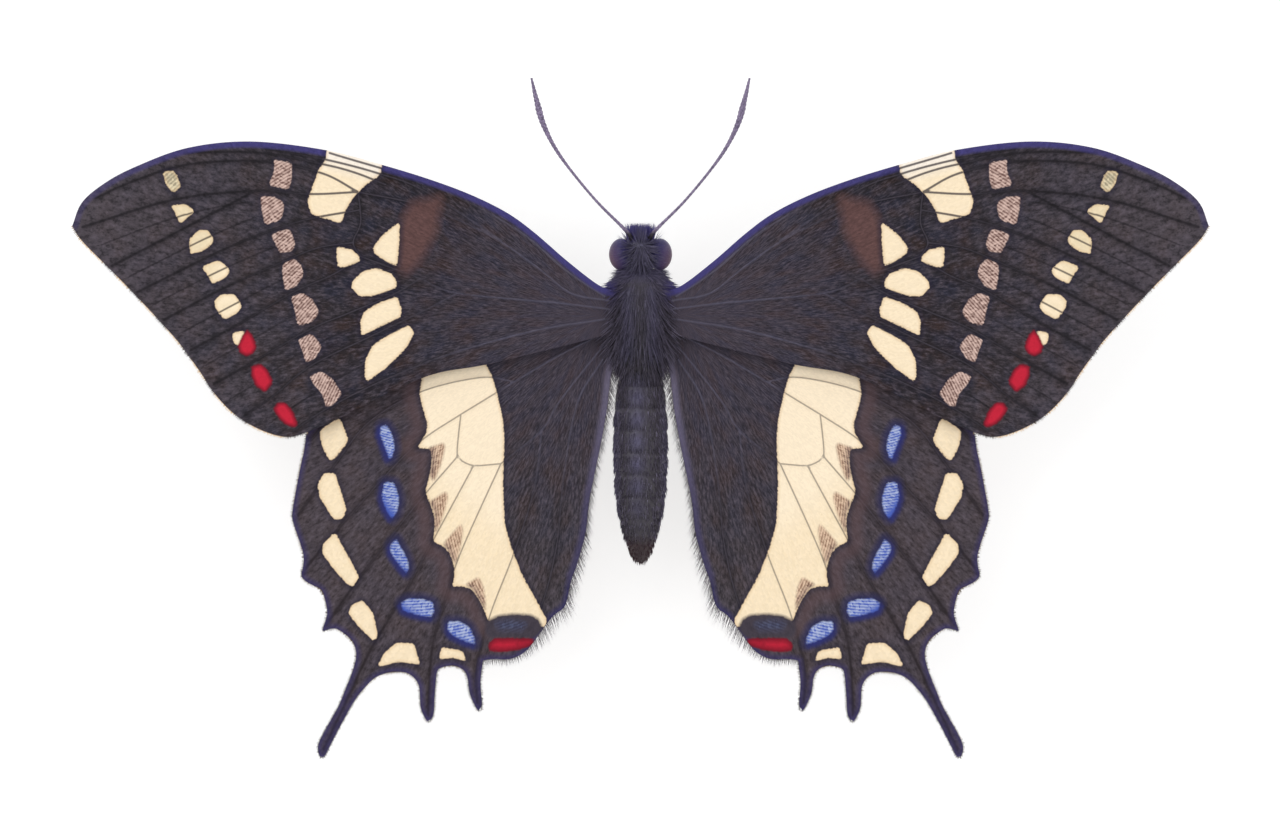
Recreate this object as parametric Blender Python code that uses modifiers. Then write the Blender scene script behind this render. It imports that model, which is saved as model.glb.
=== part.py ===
"""Swallowtail butterfly standing on its six feet with the wings opened flat.

A still, life-size museum model.  Sizes are in millimetres.  The head looks along +Y, +Z is up,
the wing span runs along X, and the floor under the middle of the whole figure is the origin.
The right side (x > 0) is modelled and the left side is its mirror image.
"""
import math

import bmesh
import bpy
from mathutils import Vector
from mathutils.geometry import delaunay_2d_cdt, intersect_line_line_2d, intersect_point_line

MM = 0.001
GAP = 0.3                       # clear gap between a node and what it grows from
BODY_SIDES = 20                 # facets round the body
TUBE_SIDES = 2                  # bevel steps of legs and feelers

# Thorax: an egg shape, given by its middle and its half sizes.
THORAX_Y, THORAX_Z = 9.0, 12.0
THORAX_HALF_LENGTH, THORAX_HALF_WIDTH = 5.4, 3.6
THORAX_UP, THORAX_DOWN = 4.1, 4.2
# Fractions: place along the length (rear -1, front 1), width, height above and below the axis.
THORAX_SHAPE = ((-1.0, 0.0, 0.0, 0.0), (-0.96, 0.30, 0.28, 0.28), (-0.86, 0.57, 0.52, 0.50),
                (-0.68, 0.79, 0.72, 0.74), (-0.40, 0.94, 0.92, 0.94), (-0.05, 1.0, 1.0, 1.0),
                (0.28, 0.98, 0.97, 0.95), (0.54, 0.93, 0.87, 0.82), (0.70, 0.84, 0.75, 0.69),
                (0.82, 0.70, 0.61, 0.56), (0.92, 0.50, 0.44, 0.40), (0.98, 0.28, 0.26, 0.24),
                (1.0, 0.0, 0.0, 0.0))

# Head: sits in front of the thorax.
HEAD_HALF_LENGTH, HEAD_HALF_WIDTH, HEAD_UP, HEAD_DOWN = 2.05, 1.75, 1.9, 1.8
HEAD_Y = THORAX_Y + THORAX_HALF_LENGTH - 0.45 + HEAD_HALF_LENGTH
HEAD_Z = THORAX_Z + 0.5
HEAD_SHAPE = ((-1.0, 0.0, 0.0, 0.0), (-0.93, 0.36, 0.36, 0.36), (-0.76, 0.66, 0.66, 0.66),
              (-0.45, 0.90, 0.90, 0.90), (-0.05, 1.0, 1.0, 1.0), (0.35, 0.94, 0.93, 0.93),
              (0.68, 0.73, 0.72, 0.76), (0.90, 0.44, 0.42, 0.48), (1.0, 0.0, 0.0, 0.0))
EYE_X = HEAD_HALF_WIDTH + 0.10
EYE_Y, EYE_Z = HEAD_Y - 0.35, HEAD_Z + 0.1
EYE_RADII = (1.15, 1.5, 1.55)

# Abdomen: from inside the rear of the thorax to its tip.
ABDOMEN_START_Y = THORAX_Y - THORAX_HALF_LENGTH + 1.8
ABDOMEN_LENGTH, ABDOMEN_HALF_WIDTH, ABDOMEN_HALF_HEIGHT = 19.3, 2.62, 2.45
ABDOMEN_START_Z, ABDOMEN_END_Z = THORAX_Z - 0.4, THORAX_Z - 1.6
ABDOMEN_PROFILE = ((0.0, 0.62), (0.12, 0.87), (0.28, 0.99), (0.44, 1.0), (0.62, 0.95),
                   (0.75, 0.82), (0.87, 0.60), (0.95, 0.38), (1.0, 0.20))
ABDOMEN_SEGMENTS = 9
SEGMENT_GROOVE = 0.045          # depth of the grooves between segments, part of the radius

# Wings: mid-surface heights, then thicknesses.
WING_ROOT_X = THORAX_HALF_WIDTH + 0.4
FORE_ROOT_Z = THORAX_Z + 0.47 * THORAX_UP
FORE_RISE, FORE_SAG = 0.060, 0.0011     # the span rises, then arches back down
WING_STEP = 1.3                         # the hindwing lies this far under the forewing
HIND_DROOP, HIND_LEVEL_Y = 0.0019, 4.0  # behind this line the hindwing droops
MEMBRANE, VEIN = 0.52, 0.92             # thickness of the membrane and over a vein's crest
VEIN_HALF_WIDTH, VEIN_END_HALF_WIDTH = 0.42, 0.26
OUTLINE_STEP, VEIN_STEP = 2.6, 3.1

# Wing outlines in plan, each run read from root to tip or along the margin.
ROOT_X = THORAX_HALF_WIDTH - 1.3
FORE_COSTA = ((ROOT_X, 12.1), (4.0, 12.7), (7.0, 15.0), (10.0, 17.6), (12.6, 19.5), (16.0, 21.2),
              (20.0, 22.7), (24.6, 24.1), (30.0, 25.5), (37.0, 26.3), (43.0, 25.7), (48.0, 23.9),
              (51.0, 22.3), (53.1, 20.5), (54.0, 18.3))
FORE_OUTER = ((54.0, 18.3), (53.0, 16.8), (50.0, 13.8), (47.0, 10.7), (44.0, 7.4), (42.0, 4.7),
              (40.3, 2.2), (38.4, 0.3), (36.0, -1.1), (33.6, -1.75), (31.6, -1.3))
FORE_INNER = ((31.6, -1.3), (28.7, 0.0), (20.6, 3.9), (14.8, 5.1), (8.5, 6.6), (ROOT_X, 8.2))
HIND_COSTA = ((ROOT_X, 9.9), (5.0, 10.4), (10.0, 10.1), (16.0, 8.6), (22.0, 6.2), (27.5, 2.8),
              (30.6, 0.0), (31.8, -1.6))
HIND_OUTER = ((31.8, -1.6), (32.5, -5.3), (33.1, -9.7), (32.2, -12.6), (32.35, -14.9),
              (30.6, -16.3), (29.9, -18.4), (30.4, -20.3), (29.0, -20.1), (27.5, -21.3),
              (27.1, -22.8))
HIND_TAIL = ((27.1, -22.8), (28.1, -25.7), (29.6, -28.9), (30.85, -31.4), (30.5, -32.5),
             (29.6, -31.1), (27.9, -27.9), (26.3, -25.7), (24.5, -24.4))
HIND_TOOTH_ONE = ((24.5, -24.4), (22.6, -24.2), (21.2, -25.4), (21.0, -27.6), (20.3, -29.0),
                  (19.7, -27.8), (19.5, -24.6), (18.5, -23.6))
HIND_TOOTH_TWO = ((18.5, -23.6), (17.1, -23.8), (16.4, -25.2), (16.1, -26.9), (15.5, -27.95),
                  (15.15, -26.9), (15.25, -24.8), (15.0, -23.0))
HIND_INNER = ((15.0, -23.0), (12.4, -22.9), (10.3, -21.4), (8.3, -18.8), (6.9, -16.8),
              (6.0, -13.8), (5.2, -10.4), (4.6, -6.2), (3.8, -2.2), (3.3, 1.0), (2.9, 4.2),
              (ROOT_X, 6.6))

# Veins in plan, each from the body outwards.
FORE_VEINS = {
    "radius": ((3.6, 11.2), (6.6, 11.9), (9.6, 14.2), (14.3, 17.4), (20.8, 20.2), (26.8, 21.5)),
    "radius_1": ((13.2, 16.9), (20.5, 21.6), (25.0, 23.3), (30.0, 24.6), (35.6, 25.6)),
    "radius_3": ((26.8, 21.5), (30.3, 23.3), (36.0, 24.4), (43.0, 24.1), (48.5, 22.4),
                 (51.8, 20.9)),
    "radius_4": ((26.8, 21.5), (31.3, 21.3), (36.6, 21.6), (44.2, 20.8), (53.0, 18.2)),
    "radius_5": ((36.6, 21.6), (40.0, 19.8), (46.5, 16.4), (50.2, 14.5)),
    "media_1": ((26.6, 19.8), (31.6, 18.9), (36.0, 17.5), (40.7, 15.5), (47.8, 12.0)),
    "media_2": ((27.3, 16.7), (30.6, 16.2), (34.1, 14.8), (39.5, 12.4), (45.2, 9.4)),
    "media_3": ((26.6, 15.4), (29.1, 13.7), (32.7, 12.1), (37.9, 9.1), (42.7, 6.5)),
    "cubitus": ((3.6, 10.4), (8.1, 11.0), (17.4, 11.9), (20.9, 13.3), (23.4, 14.2), (26.6, 15.4)),
    "cubitus_1": ((20.9, 13.3), (23.4, 11.8), (27.7, 10.0), (31.3, 8.5), (36.7, 5.4),
                  (40.5, 3.3)),
    "cubitus_2": ((17.4, 11.9), (20.6, 10.2), (25.6, 7.8), (31.3, 5.0), (34.9, 2.1),
                  (37.6, 0.3)),
    "anal": ((3.6, 9.5), (10.2, 8.3), (18.1, 6.1), (24.9, 3.4), (30.0, 0.8), (33.0, -1.2)),
    "cell_end": ((26.6, 15.4), (27.3, 16.7), (26.6, 18.3), (26.6, 19.8), (26.8, 21.5)),
}
HIND_VEINS = {
    "subcosta": ((3.6, 9.3), (10.0, 8.9), (18.0, 6.6), (25.0, 3.0), (29.6, -0.2), (31.3, -2.0)),
    "radius": ((12.0, 3.5), (15.2, 3.9), (21.0, 2.5), (25.9, -0.4), (29.3, -4.7), (32.6, -9.2)),
    "cell_top": ((3.6, 8.2), (7.6, 6.1), (12.0, 3.5), (17.1, 0.4)),
    "media_1": ((17.1, 0.4), (20.6, -1.9), (23.5, -4.6), (28.7, -10.4), (32.0, -14.4)),
    "media_2": ((17.5, -3.7), (20.6, -7.3), (24.2, -11.8), (27.6, -16.3), (30.0, -19.7)),
    "media_3": ((15.9, -4.5), (19.7, -11.5), (22.6, -16.8), (25.6, -21.8), (27.8, -26.3),
                (30.3, -31.7)),
    "cubitus": ((3.6, 7.0), (7.6, 1.8), (9.4, -1.1), (13.3, -4.3)),
    "cubitus_1": ((13.3, -4.3), (17.1, -12.7), (18.6, -17.2), (19.9, -22.1), (20.3, -28.3)),
    "cubitus_2": ((9.4, -1.1), (10.1, -6.6), (12.1, -12.9), (14.3, -18.6), (15.6, -23.6),
                  (15.6, -27.2)),
    "anal": ((3.9, 5.3), (6.0, 1.5), (7.3, -5.4), (8.0, -12.1), (9.6, -18.2), (12.2, -22.0)),
    "cell_end": ((17.1, 0.4), (17.35, -1.8), (17.45, -3.4), (17.15, -3.95), (16.2, -4.42),
                 (15.6, -4.5), (13.3, -4.3)),
}

# Legs: root inside the thorax, trochanter, knee, ankle, heel on the floor, toe.
SOLE_Z = 0.17                   # height of a foot's axis above the floor
LEG_ROOT_Z = THORAX_Z - 0.5 * THORAX_DOWN
LEGS = {
    "front": ((1.3, THORAX_Y + 2.3, LEG_ROOT_Z), (2.7, 11.5, 8.3), (7.7, 12.5, 9.6),
              (10.2, 14.4, 1.3), (11.3, 15.1, SOLE_Z), (15.2, 17.3, SOLE_Z)),
    "middle": ((1.6, THORAX_Y + 0.3, LEG_ROOT_Z), (3.3, 9.3, 7.4), (9.6, 8.9, 9.8),
               (13.1, 8.4, 1.3), (14.4, 8.2, SOLE_Z), (18.8, 7.6, SOLE_Z)),
    "hind": ((1.5, THORAX_Y - 2.2, LEG_ROOT_Z), (2.9, 6.2, 7.6), (8.4, 1.9, 9.8),
             (11.7, -1.7, 1.3), (12.6, -2.7, SOLE_Z), (15.4, -6.4, SOLE_Z)),
}
LEG_RADII = (0.85, 0.62, 0.42, 0.34, 0.29, 0.26)
KNEE_BEND = 1.05                # how far a bend reaches along each side of a joint

# Feelers and mouth parts, all growing from the head.
ANTENNA_PATH = ((0.75, HEAD_Y + 0.9, HEAD_Z + 0.9), (1.45, 17.9, 14.6), (4.35, 20.8, 15.4),
                (7.5, 24.7, 16.4), (9.1, 27.6, 17.1), (9.85, 30.2, 17.4), (10.3, 32.15, 17.5))
ANTENNA_RADII = (0.34, 0.27, 0.25, 0.25, 0.27, 0.40, 0.14)
PALP_PATH = ((0.6, HEAD_Y + 0.3, HEAD_Z - 1.2), (0.62, HEAD_Y + 1.5, HEAD_Z - 1.9),
             (0.58, HEAD_Y + 2.25, HEAD_Z - 0.9), (0.5, HEAD_Y + 2.35, HEAD_Z + 0.1))
PALP_RADII = (0.42, 0.48, 0.42, 0.22)
COIL_Y, COIL_Z = HEAD_Y + 0.15, HEAD_Z - HEAD_DOWN - 1.55
COIL_OUTER, COIL_PITCH, COIL_TURNS, COIL_TUBE = 1.45, 0.78, 1.6, 0.25


def collection(name):
    made = bpy.data.collections.new(name)
    bpy.context.scene.collection.children.link(made)
    return made


def material(name, colour, roughness):
    made = bpy.data.materials.new(name)
    made.use_nodes = True
    shader = made.node_tree.nodes["Principled BSDF"]
    shader.inputs["Base Color"].default_value = (*colour, 1.0)
    shader.inputs["Roughness"].default_value = roughness
    return made


def add_object(name, mesh, group, finish=None):
    made = bpy.data.objects.new(name, mesh)
    group.objects.link(made)
    if finish:
        mesh.materials.clear()
        mesh.materials.append(finish)
    return made


def mesh_of(name, bm):
    bmesh.ops.recalc_face_normals(bm, faces=bm.faces)
    mesh = bpy.data.meshes.new(name)
    bm.to_mesh(mesh)
    bm.free()
    return mesh


def fixed(obj):
    """The object's evaluated mesh as a plain mesh."""
    graph = bpy.context.evaluated_depsgraph_get()
    graph.update()
    return bpy.data.meshes.new_from_object(obj.evaluated_get(graph))


def bake_modifiers(obj):
    mesh = fixed(obj)
    obj.modifiers.clear()
    old, obj.data = obj.data, mesh
    bpy.data.meshes.remove(old)


# Body forms

def rings_to_ball(name, rings):
    """Close a run of rings, the first and last being single points, into one skin."""
    bm = bmesh.new()
    first = bm.verts.new(rings[0][0])
    last = bm.verts.new(rings[-1][0])
    loops = [[bm.verts.new(p) for p in ring] for ring in rings[1:-1]]
    sides = len(loops[0])
    for i in range(sides):
        j = (i + 1) % sides
        bm.faces.new((first, loops[0][i], loops[0][j]))
        bm.faces.new((last, loops[-1][j], loops[-1][i]))
        for low, high in zip(loops, loops[1:]):
            bm.faces.new((low[i], high[i], high[j], low[j]))
    return mesh_of(name, bm)


def section(y, z, half_width, up, down):
    ring = []
    for i in range(BODY_SIDES):
        angle = 2 * math.pi * i / BODY_SIDES
        height = up if math.sin(angle) > 0 else down
        ring.append(Vector((half_width * math.cos(angle), y, z + height * math.sin(angle))) * MM)
    return ring


def egg(name, middle_y, middle_z, half_length, half_width, up, down, shape):
    rings = []
    for place, width, above, below in shape:
        y = middle_y + place * half_length
        if width:
            rings.append(section(y, middle_z, width * half_width, above * up, below * down))
        else:
            rings.append([Vector((0.0, y, middle_z)) * MM])
    return rings_to_ball(name, rings)


def profile_at(place):
    for (a, low), (b, high) in zip(ABDOMEN_PROFILE, ABDOMEN_PROFILE[1:]):
        if place <= b:
            return low + (high - low) * (place - a) / (b - a)
    return ABDOMEN_PROFILE[-1][1]


def abdomen_mesh():
    """Segments with a shallow groove at each joint, drooping gently to the tip."""
    rings = [[Vector((0.0, ABDOMEN_START_Y, ABDOMEN_START_Z)) * MM]]
    for segment in range(ABDOMEN_SEGMENTS):
        for part, depth in ((0.03, 1.0), (0.30, 0.1), (0.72, 0.0)):
            place = (segment + part) / ABDOMEN_SEGMENTS
            size = profile_at(place) * (1 - SEGMENT_GROOVE * depth)
            y = ABDOMEN_START_Y - place * ABDOMEN_LENGTH
            z = ABDOMEN_START_Z + (ABDOMEN_END_Z - ABDOMEN_START_Z) * place ** 1.5
            rings.append(section(y, z, size * ABDOMEN_HALF_WIDTH, size * ABDOMEN_HALF_HEIGHT,
                                 size * ABDOMEN_HALF_HEIGHT))
    end = Vector((0.0, ABDOMEN_START_Y - ABDOMEN_LENGTH, ABDOMEN_END_Z))
    rings.append([end * MM])
    return rings_to_ball("abdomen", rings)


def eye_mesh():
    bm = bmesh.new()
    bmesh.ops.create_uvsphere(bm, u_segments=18, v_segments=12, radius=MM)
    for vert in bm.verts:
        for axis in range(3):
            vert.co[axis] *= EYE_RADII[axis]
        vert.co += Vector((EYE_X, EYE_Y, EYE_Z)) * MM
    return mesh_of("eye", bm)


# Tubes: legs, feelers, palps and the coiled tongue

def bent_path(points, radii, bend):
    """Round each inner corner of a path with a short arc."""
    points = [Vector(p) for p in points]
    path = [(points[0], radii[0])]
    for before, here, after, radius in zip(points, points[1:], points[2:], radii[1:]):
        back = min(bend, 0.45 * (here - before).length)
        ahead = min(bend, 0.45 * (after - here).length)
        start = here + (before - here).normalized() * back
        end = here + (after - here).normalized() * ahead
        for t in (0.0, 0.33, 0.67, 1.0):
            path.append((start.lerp(here, t).lerp(here.lerp(end, t), t), radius))
    path.append((points[-1], radii[-1]))
    return path


def smooth_path(points, radii, steps):
    """A smooth run through every point, with the radius eased between them."""
    points = [Vector(p) for p in points]
    ends = [points[0] * 2 - points[1], *points, points[-1] * 2 - points[-2]]
    path = []
    for i in range(len(points) - 1):
        for step in range(steps):
            t = step / steps
            path.append((catmull(ends[i:i + 4], t), radii[i] + (radii[i + 1] - radii[i]) * t))
    path.append((points[-1], radii[-1]))
    return path


def catmull(four, t):
    a, b, c, d = four
    return 0.5 * (2 * b + (c - a) * t + (2 * a - 5 * b + 4 * c - d) * t * t
                  + (3 * b - a - 3 * c + d) * t * t * t)


def tube_mesh(name, path, sides, scratch):
    curve = bpy.data.curves.new(name, "CURVE")
    curve.dimensions = "3D"
    curve.bevel_depth = MM
    curve.bevel_resolution = sides
    curve.use_fill_caps = True
    spline = curve.splines.new("POLY")
    spline.points.add(len(path) - 1)
    for target, (place, radius) in zip(spline.points, path):
        target.co = (*(place * MM), 1.0)
        target.radius = radius
    holder = add_object(name + "_path", curve, scratch)
    bm = bmesh.new()
    bm.from_mesh(fixed(holder))
    bpy.data.objects.remove(holder)
    bmesh.ops.remove_doubles(bm, verts=bm.verts, dist=1e-6)
    return mesh_of(name, bm)


def coil_path():
    """The resting tongue: a flat watch-spring spiral on the midline below the head."""
    path = []
    steps = round(COIL_TURNS * 18)
    for step in range(steps + 1):
        turns = step / 18
        reach = COIL_OUTER - COIL_PITCH * turns
        angle = math.radians(115) - 2 * math.pi * turns
        place = Vector((0.0, COIL_Y + reach * math.cos(angle), COIL_Z + reach * math.sin(angle)))
        path.append((place, COIL_TUBE))
    root = Vector((0.0, HEAD_Y - 0.35, HEAD_Z - 0.9 * HEAD_DOWN))
    return [(root, COIL_TUBE)] + path


# Wings

def fore_height(x, y):
    reach = x - WING_ROOT_X
    return FORE_ROOT_Z + FORE_RISE * reach - FORE_SAG * reach * reach


def hind_height(x, y):
    back = max(0.0, HIND_LEVEL_Y - y)
    return fore_height(x, y) - WING_STEP - HIND_DROOP * back * back


def smooth_run(points, step):
    """Points of a run eased through its corners at about one spacing."""
    points = [Vector(p) for p in points]
    ends = [points[0] * 2 - points[1], *points, points[-1] * 2 - points[-2]]
    run = []
    for i in range(len(points) - 1):
        parts = max(1, round((points[i + 1] - points[i]).length / step))
        run += [catmull(ends[i:i + 4], k / parts) for k in range(parts)]
    return run + [points[-1]]


def outline_of(runs, step):
    loop = []
    for run in runs:
        loop += smooth_run(run, step)[:-1]
    return loop


def distance_to_run(point, run):
    best = 1e9
    for a, b in zip(run, run[1:]):
        near, part = intersect_point_line(point, a, b)
        near = a.lerp(b, min(1.0, max(0.0, part)))
        best = min(best, (near.xy - point).length)
    return best


def crosses(a, b, run):
    return any(intersect_line_line_2d(a, b, c, d) for c, d in zip(run, run[1:]))


def wing_net(loop, veins, edge_ridge):
    """Points, edges and ridge weights: outline, vein crests and the two feet of each ridge."""
    points, weights, edges = list(loop), [edge_ridge(p) for p in loop], []
    runs = {name: smooth_run(run, VEIN_STEP) for name, run in veins.items()}
    ring = loop + loop[:1]
    for name, run in runs.items():
        others = [r for n, r in runs.items() if n != name]
        start = len(points)
        for i, p in enumerate(run):
            points.append(p)
            weights.append(1.0 - 0.45 * p.x / loop_reach(loop))
        edges += [(start + i, start + i + 1) for i in range(len(run) - 1)]
        for side in (-1, 1):
            kept = None
            for i, p in enumerate(run):
                along = (run[min(i + 1, len(run) - 1)] - run[max(i - 1, 0)]).normalized()
                wide = VEIN_HALF_WIDTH + (VEIN_END_HALF_WIDTH - VEIN_HALF_WIDTH) * i / len(run)
                foot = p + Vector((-along.y, along.x)) * side * wide
                clear = min([distance_to_run(foot, r) for r in others] + [9.0])
                if (clear < 1.05 * wide or distance_to_run(foot, ring) < 0.22
                        or not inside(foot, loop)):
                    kept = None
                    continue
                if min((p - foot).length for p in points) < 0.16:
                    kept = None
                    continue
                points.append(foot)
                weights.append(0.0)
                here = len(points) - 1
                if kept is not None and not any(crosses(points[kept], foot, r) for r in others):
                    edges.append((kept, here))
                kept = here
    return points, weights, edges


def loop_reach(loop):
    return max(p.x for p in loop)


def inside(point, loop):
    hits = 0
    for a, b in zip(loop, loop[1:] + loop[:1]):
        if (a.y > point.y) != (b.y > point.y):
            if point.x < a.x + (point.y - a.y) / (b.y - a.y) * (b.x - a.x):
                hits += 1
    return hits % 2 == 1


def wing_mesh(name, runs, veins, height, edge_ridge, scratch):
    """One sheet through outline and veins, thickened alike on both faces.

    The veins are ridges of the sheet itself: its thickness grows over each crest."""
    loop = [p.xy for p in outline_of(runs, OUTLINE_STEP)]
    veins = {n: [Vector(p) for p in run] for n, run in veins.items()}
    points, weights, edges = wing_net(loop, veins, edge_ridge)
    ring = list(range(len(loop)))
    flat, _, faces, origins, _, _ = delaunay_2d_cdt(points, edges, [ring], 1, 1e-4)
    bm = bmesh.new()
    verts = [bm.verts.new((p.x * MM, p.y * MM, height(p.x, p.y) * MM)) for p in flat]
    for face in faces:
        made = bm.faces.new([verts[i] for i in face])
        if made.calc_area() and made.normal.z < 0:
            made.normal_flip()
    bmesh.ops.triangulate(bm, faces=bm.faces)
    mesh = bpy.data.meshes.new(name)
    bm.to_mesh(mesh)
    bm.free()
    sheet = add_object(name + "_sheet", mesh, scratch)
    ridge = sheet.vertex_groups.new(name="ridge")
    for i, sources in enumerate(origins):
        near = sources or [min(range(len(points)), key=lambda k: (points[k] - flat[i]).length)]
        ridge.add([i], max(weights[k] for k in near), "REPLACE")
    thick = sheet.modifiers.new("thickness", "SOLIDIFY")
    thick.thickness = VEIN * MM
    thick.offset = 0.0
    thick.vertex_group = ridge.name
    thick.thickness_vertex_group = MEMBRANE / VEIN
    solid = fixed(sheet)
    bpy.data.objects.remove(sheet)
    return solid


def fore_edge(point):
    """The leading edge is thickened by its own vein, most of all near the root."""
    if point.x < WING_ROOT_X + 1.5:
        return 1.0
    lead = point.y > 12.0 + 0.3 * (point.x - WING_ROOT_X) or point.x < 30 and point.y > 11.5
    return max(0.0, 0.9 - 0.012 * point.x) if lead else 0.0


def hind_edge(point):
    if point.x < WING_ROOT_X and point.y > 2.0:
        return 1.0
    return 0.5 if point.y > 7.5 - 0.2 * point.x and point.x < 28 else 0.0


# Cutting and mirroring

def grown(obj, amount, scratch):
    """A copy of a body with its skin moved outwards."""
    bm = bmesh.new()
    bm.from_mesh(obj.data)
    bm.normal_update()
    moves = [(v, v.normal.copy()) for v in bm.verts]
    for vert, normal in moves:
        vert.co += normal * amount * MM
    return as_cutter(add_object(obj.name + "_grown", mesh_of(obj.name + "_grown", bm), scratch))


def as_cutter(obj):
    obj.hide_render = True
    obj.display_type = "WIRE"
    return obj


def cut(obj, cutter):
    change = obj.modifiers.new("cut", "BOOLEAN")
    change.operation = "DIFFERENCE"
    change.solver = "EXACT"
    change.object = cutter
    bake_modifiers(obj)
    keep_largest(obj)


def keep_largest(obj):
    """Tidy after a cut and keep only the largest closed surface."""
    bm = bmesh.new()
    bm.from_mesh(obj.data)
    bmesh.ops.remove_doubles(bm, verts=bm.verts, dist=2e-6)
    bmesh.ops.dissolve_degenerate(bm, edges=bm.edges, dist=2e-6)
    bmesh.ops.triangulate(bm, faces=bm.faces)
    islands, seen = [], set()
    for seed in bm.verts:
        if seed in seen:
            continue
        island, queue = {seed}, [seed]
        while queue:
            for edge in queue.pop().link_edges:
                for vert in edge.verts:
                    if vert not in island:
                        island.add(vert)
                        queue.append(vert)
        seen |= island
        islands.append(island)
    biggest = max(islands, key=len)
    bmesh.ops.delete(bm, geom=[v for v in bm.verts if v not in biggest], context="VERTS")
    bm.to_mesh(obj.data)
    bm.free()


def mirrored(obj, name, group, finish):
    bm = bmesh.new()
    bm.from_mesh(obj.data)
    for vert in bm.verts:
        vert.co.x = -vert.co.x
    bmesh.ops.reverse_faces(bm, faces=bm.faces)
    mesh = bpy.data.meshes.new(name)
    bm.to_mesh(mesh)
    bm.free()
    return add_object(name, mesh, group, finish)


def floor_cutter(scratch):
    bm = bmesh.new()
    bmesh.ops.create_cube(bm, size=1.0)
    for vert in bm.verts:
        vert.co = Vector((vert.co.x * 80, vert.co.y * 80, (vert.co.z - 0.5) * 4)) * MM
    return as_cutter(add_object("below_floor", mesh_of("below_floor", bm), scratch))


def both_sides(right, stem, group, finish):
    mirrored(right, stem + "_left", group, finish)


def build_body(group, scratch, finish):
    thorax = add_object("thorax", egg("thorax", THORAX_Y, THORAX_Z, THORAX_HALF_LENGTH,
                                      THORAX_HALF_WIDTH, THORAX_UP, THORAX_DOWN, THORAX_SHAPE),
                        group, finish)
    head = add_object("head", egg("head", HEAD_Y, HEAD_Z, HEAD_HALF_LENGTH, HEAD_HALF_WIDTH,
                                  HEAD_UP, HEAD_DOWN, HEAD_SHAPE), group, finish)
    abdomen = add_object("abdomen", abdomen_mesh(), group, finish)
    thorax_room = grown(thorax, GAP, scratch)
    cut(head, thorax_room)
    cut(abdomen, thorax_room)
    return thorax_room, grown(head, GAP, scratch), grown(abdomen, GAP, scratch)


def build_wings(group, scratch, rooms, finish):
    fore_runs = (FORE_COSTA, FORE_OUTER, FORE_INNER)
    hind_runs = (HIND_COSTA, HIND_OUTER, HIND_TAIL, HIND_TOOTH_ONE, HIND_TOOTH_TWO, HIND_INNER)
    for stem, runs, veins, height, edge in (
            ("forewing", fore_runs, FORE_VEINS, fore_height, fore_edge),
            ("hindwing", hind_runs, HIND_VEINS, hind_height, hind_edge)):
        mesh = wing_mesh(stem, runs, veins, height, edge, scratch)
        wing = add_object(stem + "_right", mesh, group, finish)
        for room in rooms:
            cut(wing, room)
        both_sides(wing, stem, group, finish)


def build_legs(group, scratch, room, finish):
    floor = floor_cutter(scratch)
    for pair, points in LEGS.items():
        mesh = tube_mesh("leg", bent_path(points, LEG_RADII, KNEE_BEND), TUBE_SIDES, scratch)
        leg = add_object("leg_" + pair + "_right", mesh, group, finish)
        cut(leg, room)
        cut(leg, floor)
        both_sides(leg, "leg_" + pair, group, finish)


def build_head_parts(group, scratch, room, finish, eye_finish):
    eye = add_object("eye_right", eye_mesh(), group, eye_finish)
    cut(eye, room)
    both_sides(eye, "eye", group, eye_finish)
    feeler = add_object("antenna_right", tube_mesh("antenna", smooth_path(
        ANTENNA_PATH, ANTENNA_RADII, 3), TUBE_SIDES, scratch), group, finish)
    cut(feeler, room)
    both_sides(feeler, "antenna", group, finish)
    palp = add_object("palp_right", tube_mesh("palp", smooth_path(
        PALP_PATH, PALP_RADII, 3), TUBE_SIDES, scratch), group, finish)
    cut(palp, room)
    both_sides(palp, "palp", group, finish)
    tongue = add_object("proboscis", tube_mesh("proboscis", coil_path(), 1, scratch), group,
                        finish)
    cut(tongue, room)


def main():
    for old in list(bpy.data.objects):
        bpy.data.objects.remove(old)
    group = collection("swallowtail_butterfly")
    scratch = collection("cutters")
    body = material("dark_cuticle", (0.018, 0.016, 0.020), 0.55)
    wing = material("wing_scales", (0.035, 0.026, 0.024), 0.70)
    eye = material("compound_eye", (0.060, 0.035, 0.030), 0.30)
    thorax_room, head_room, abdomen_room = build_body(group, scratch, body)
    build_wings(group, scratch, (thorax_room, abdomen_room), wing)
    build_legs(group, scratch, thorax_room, body)
    build_head_parts(group, scratch, head_room, body, eye)


main()
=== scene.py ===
"""Dresses the still, life-size swallowtail butterfly that stands with its wings opened flat.

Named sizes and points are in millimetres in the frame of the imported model: the head looks along
+Y, +Z is up, and the right side (x > 0) is made first and mirrored for the left side.
"""
import math
from types import SimpleNamespace

import bmesh
import bpy
import numpy as np
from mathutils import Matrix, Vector
from mathutils.geometry import delaunay_2d_cdt


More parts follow.
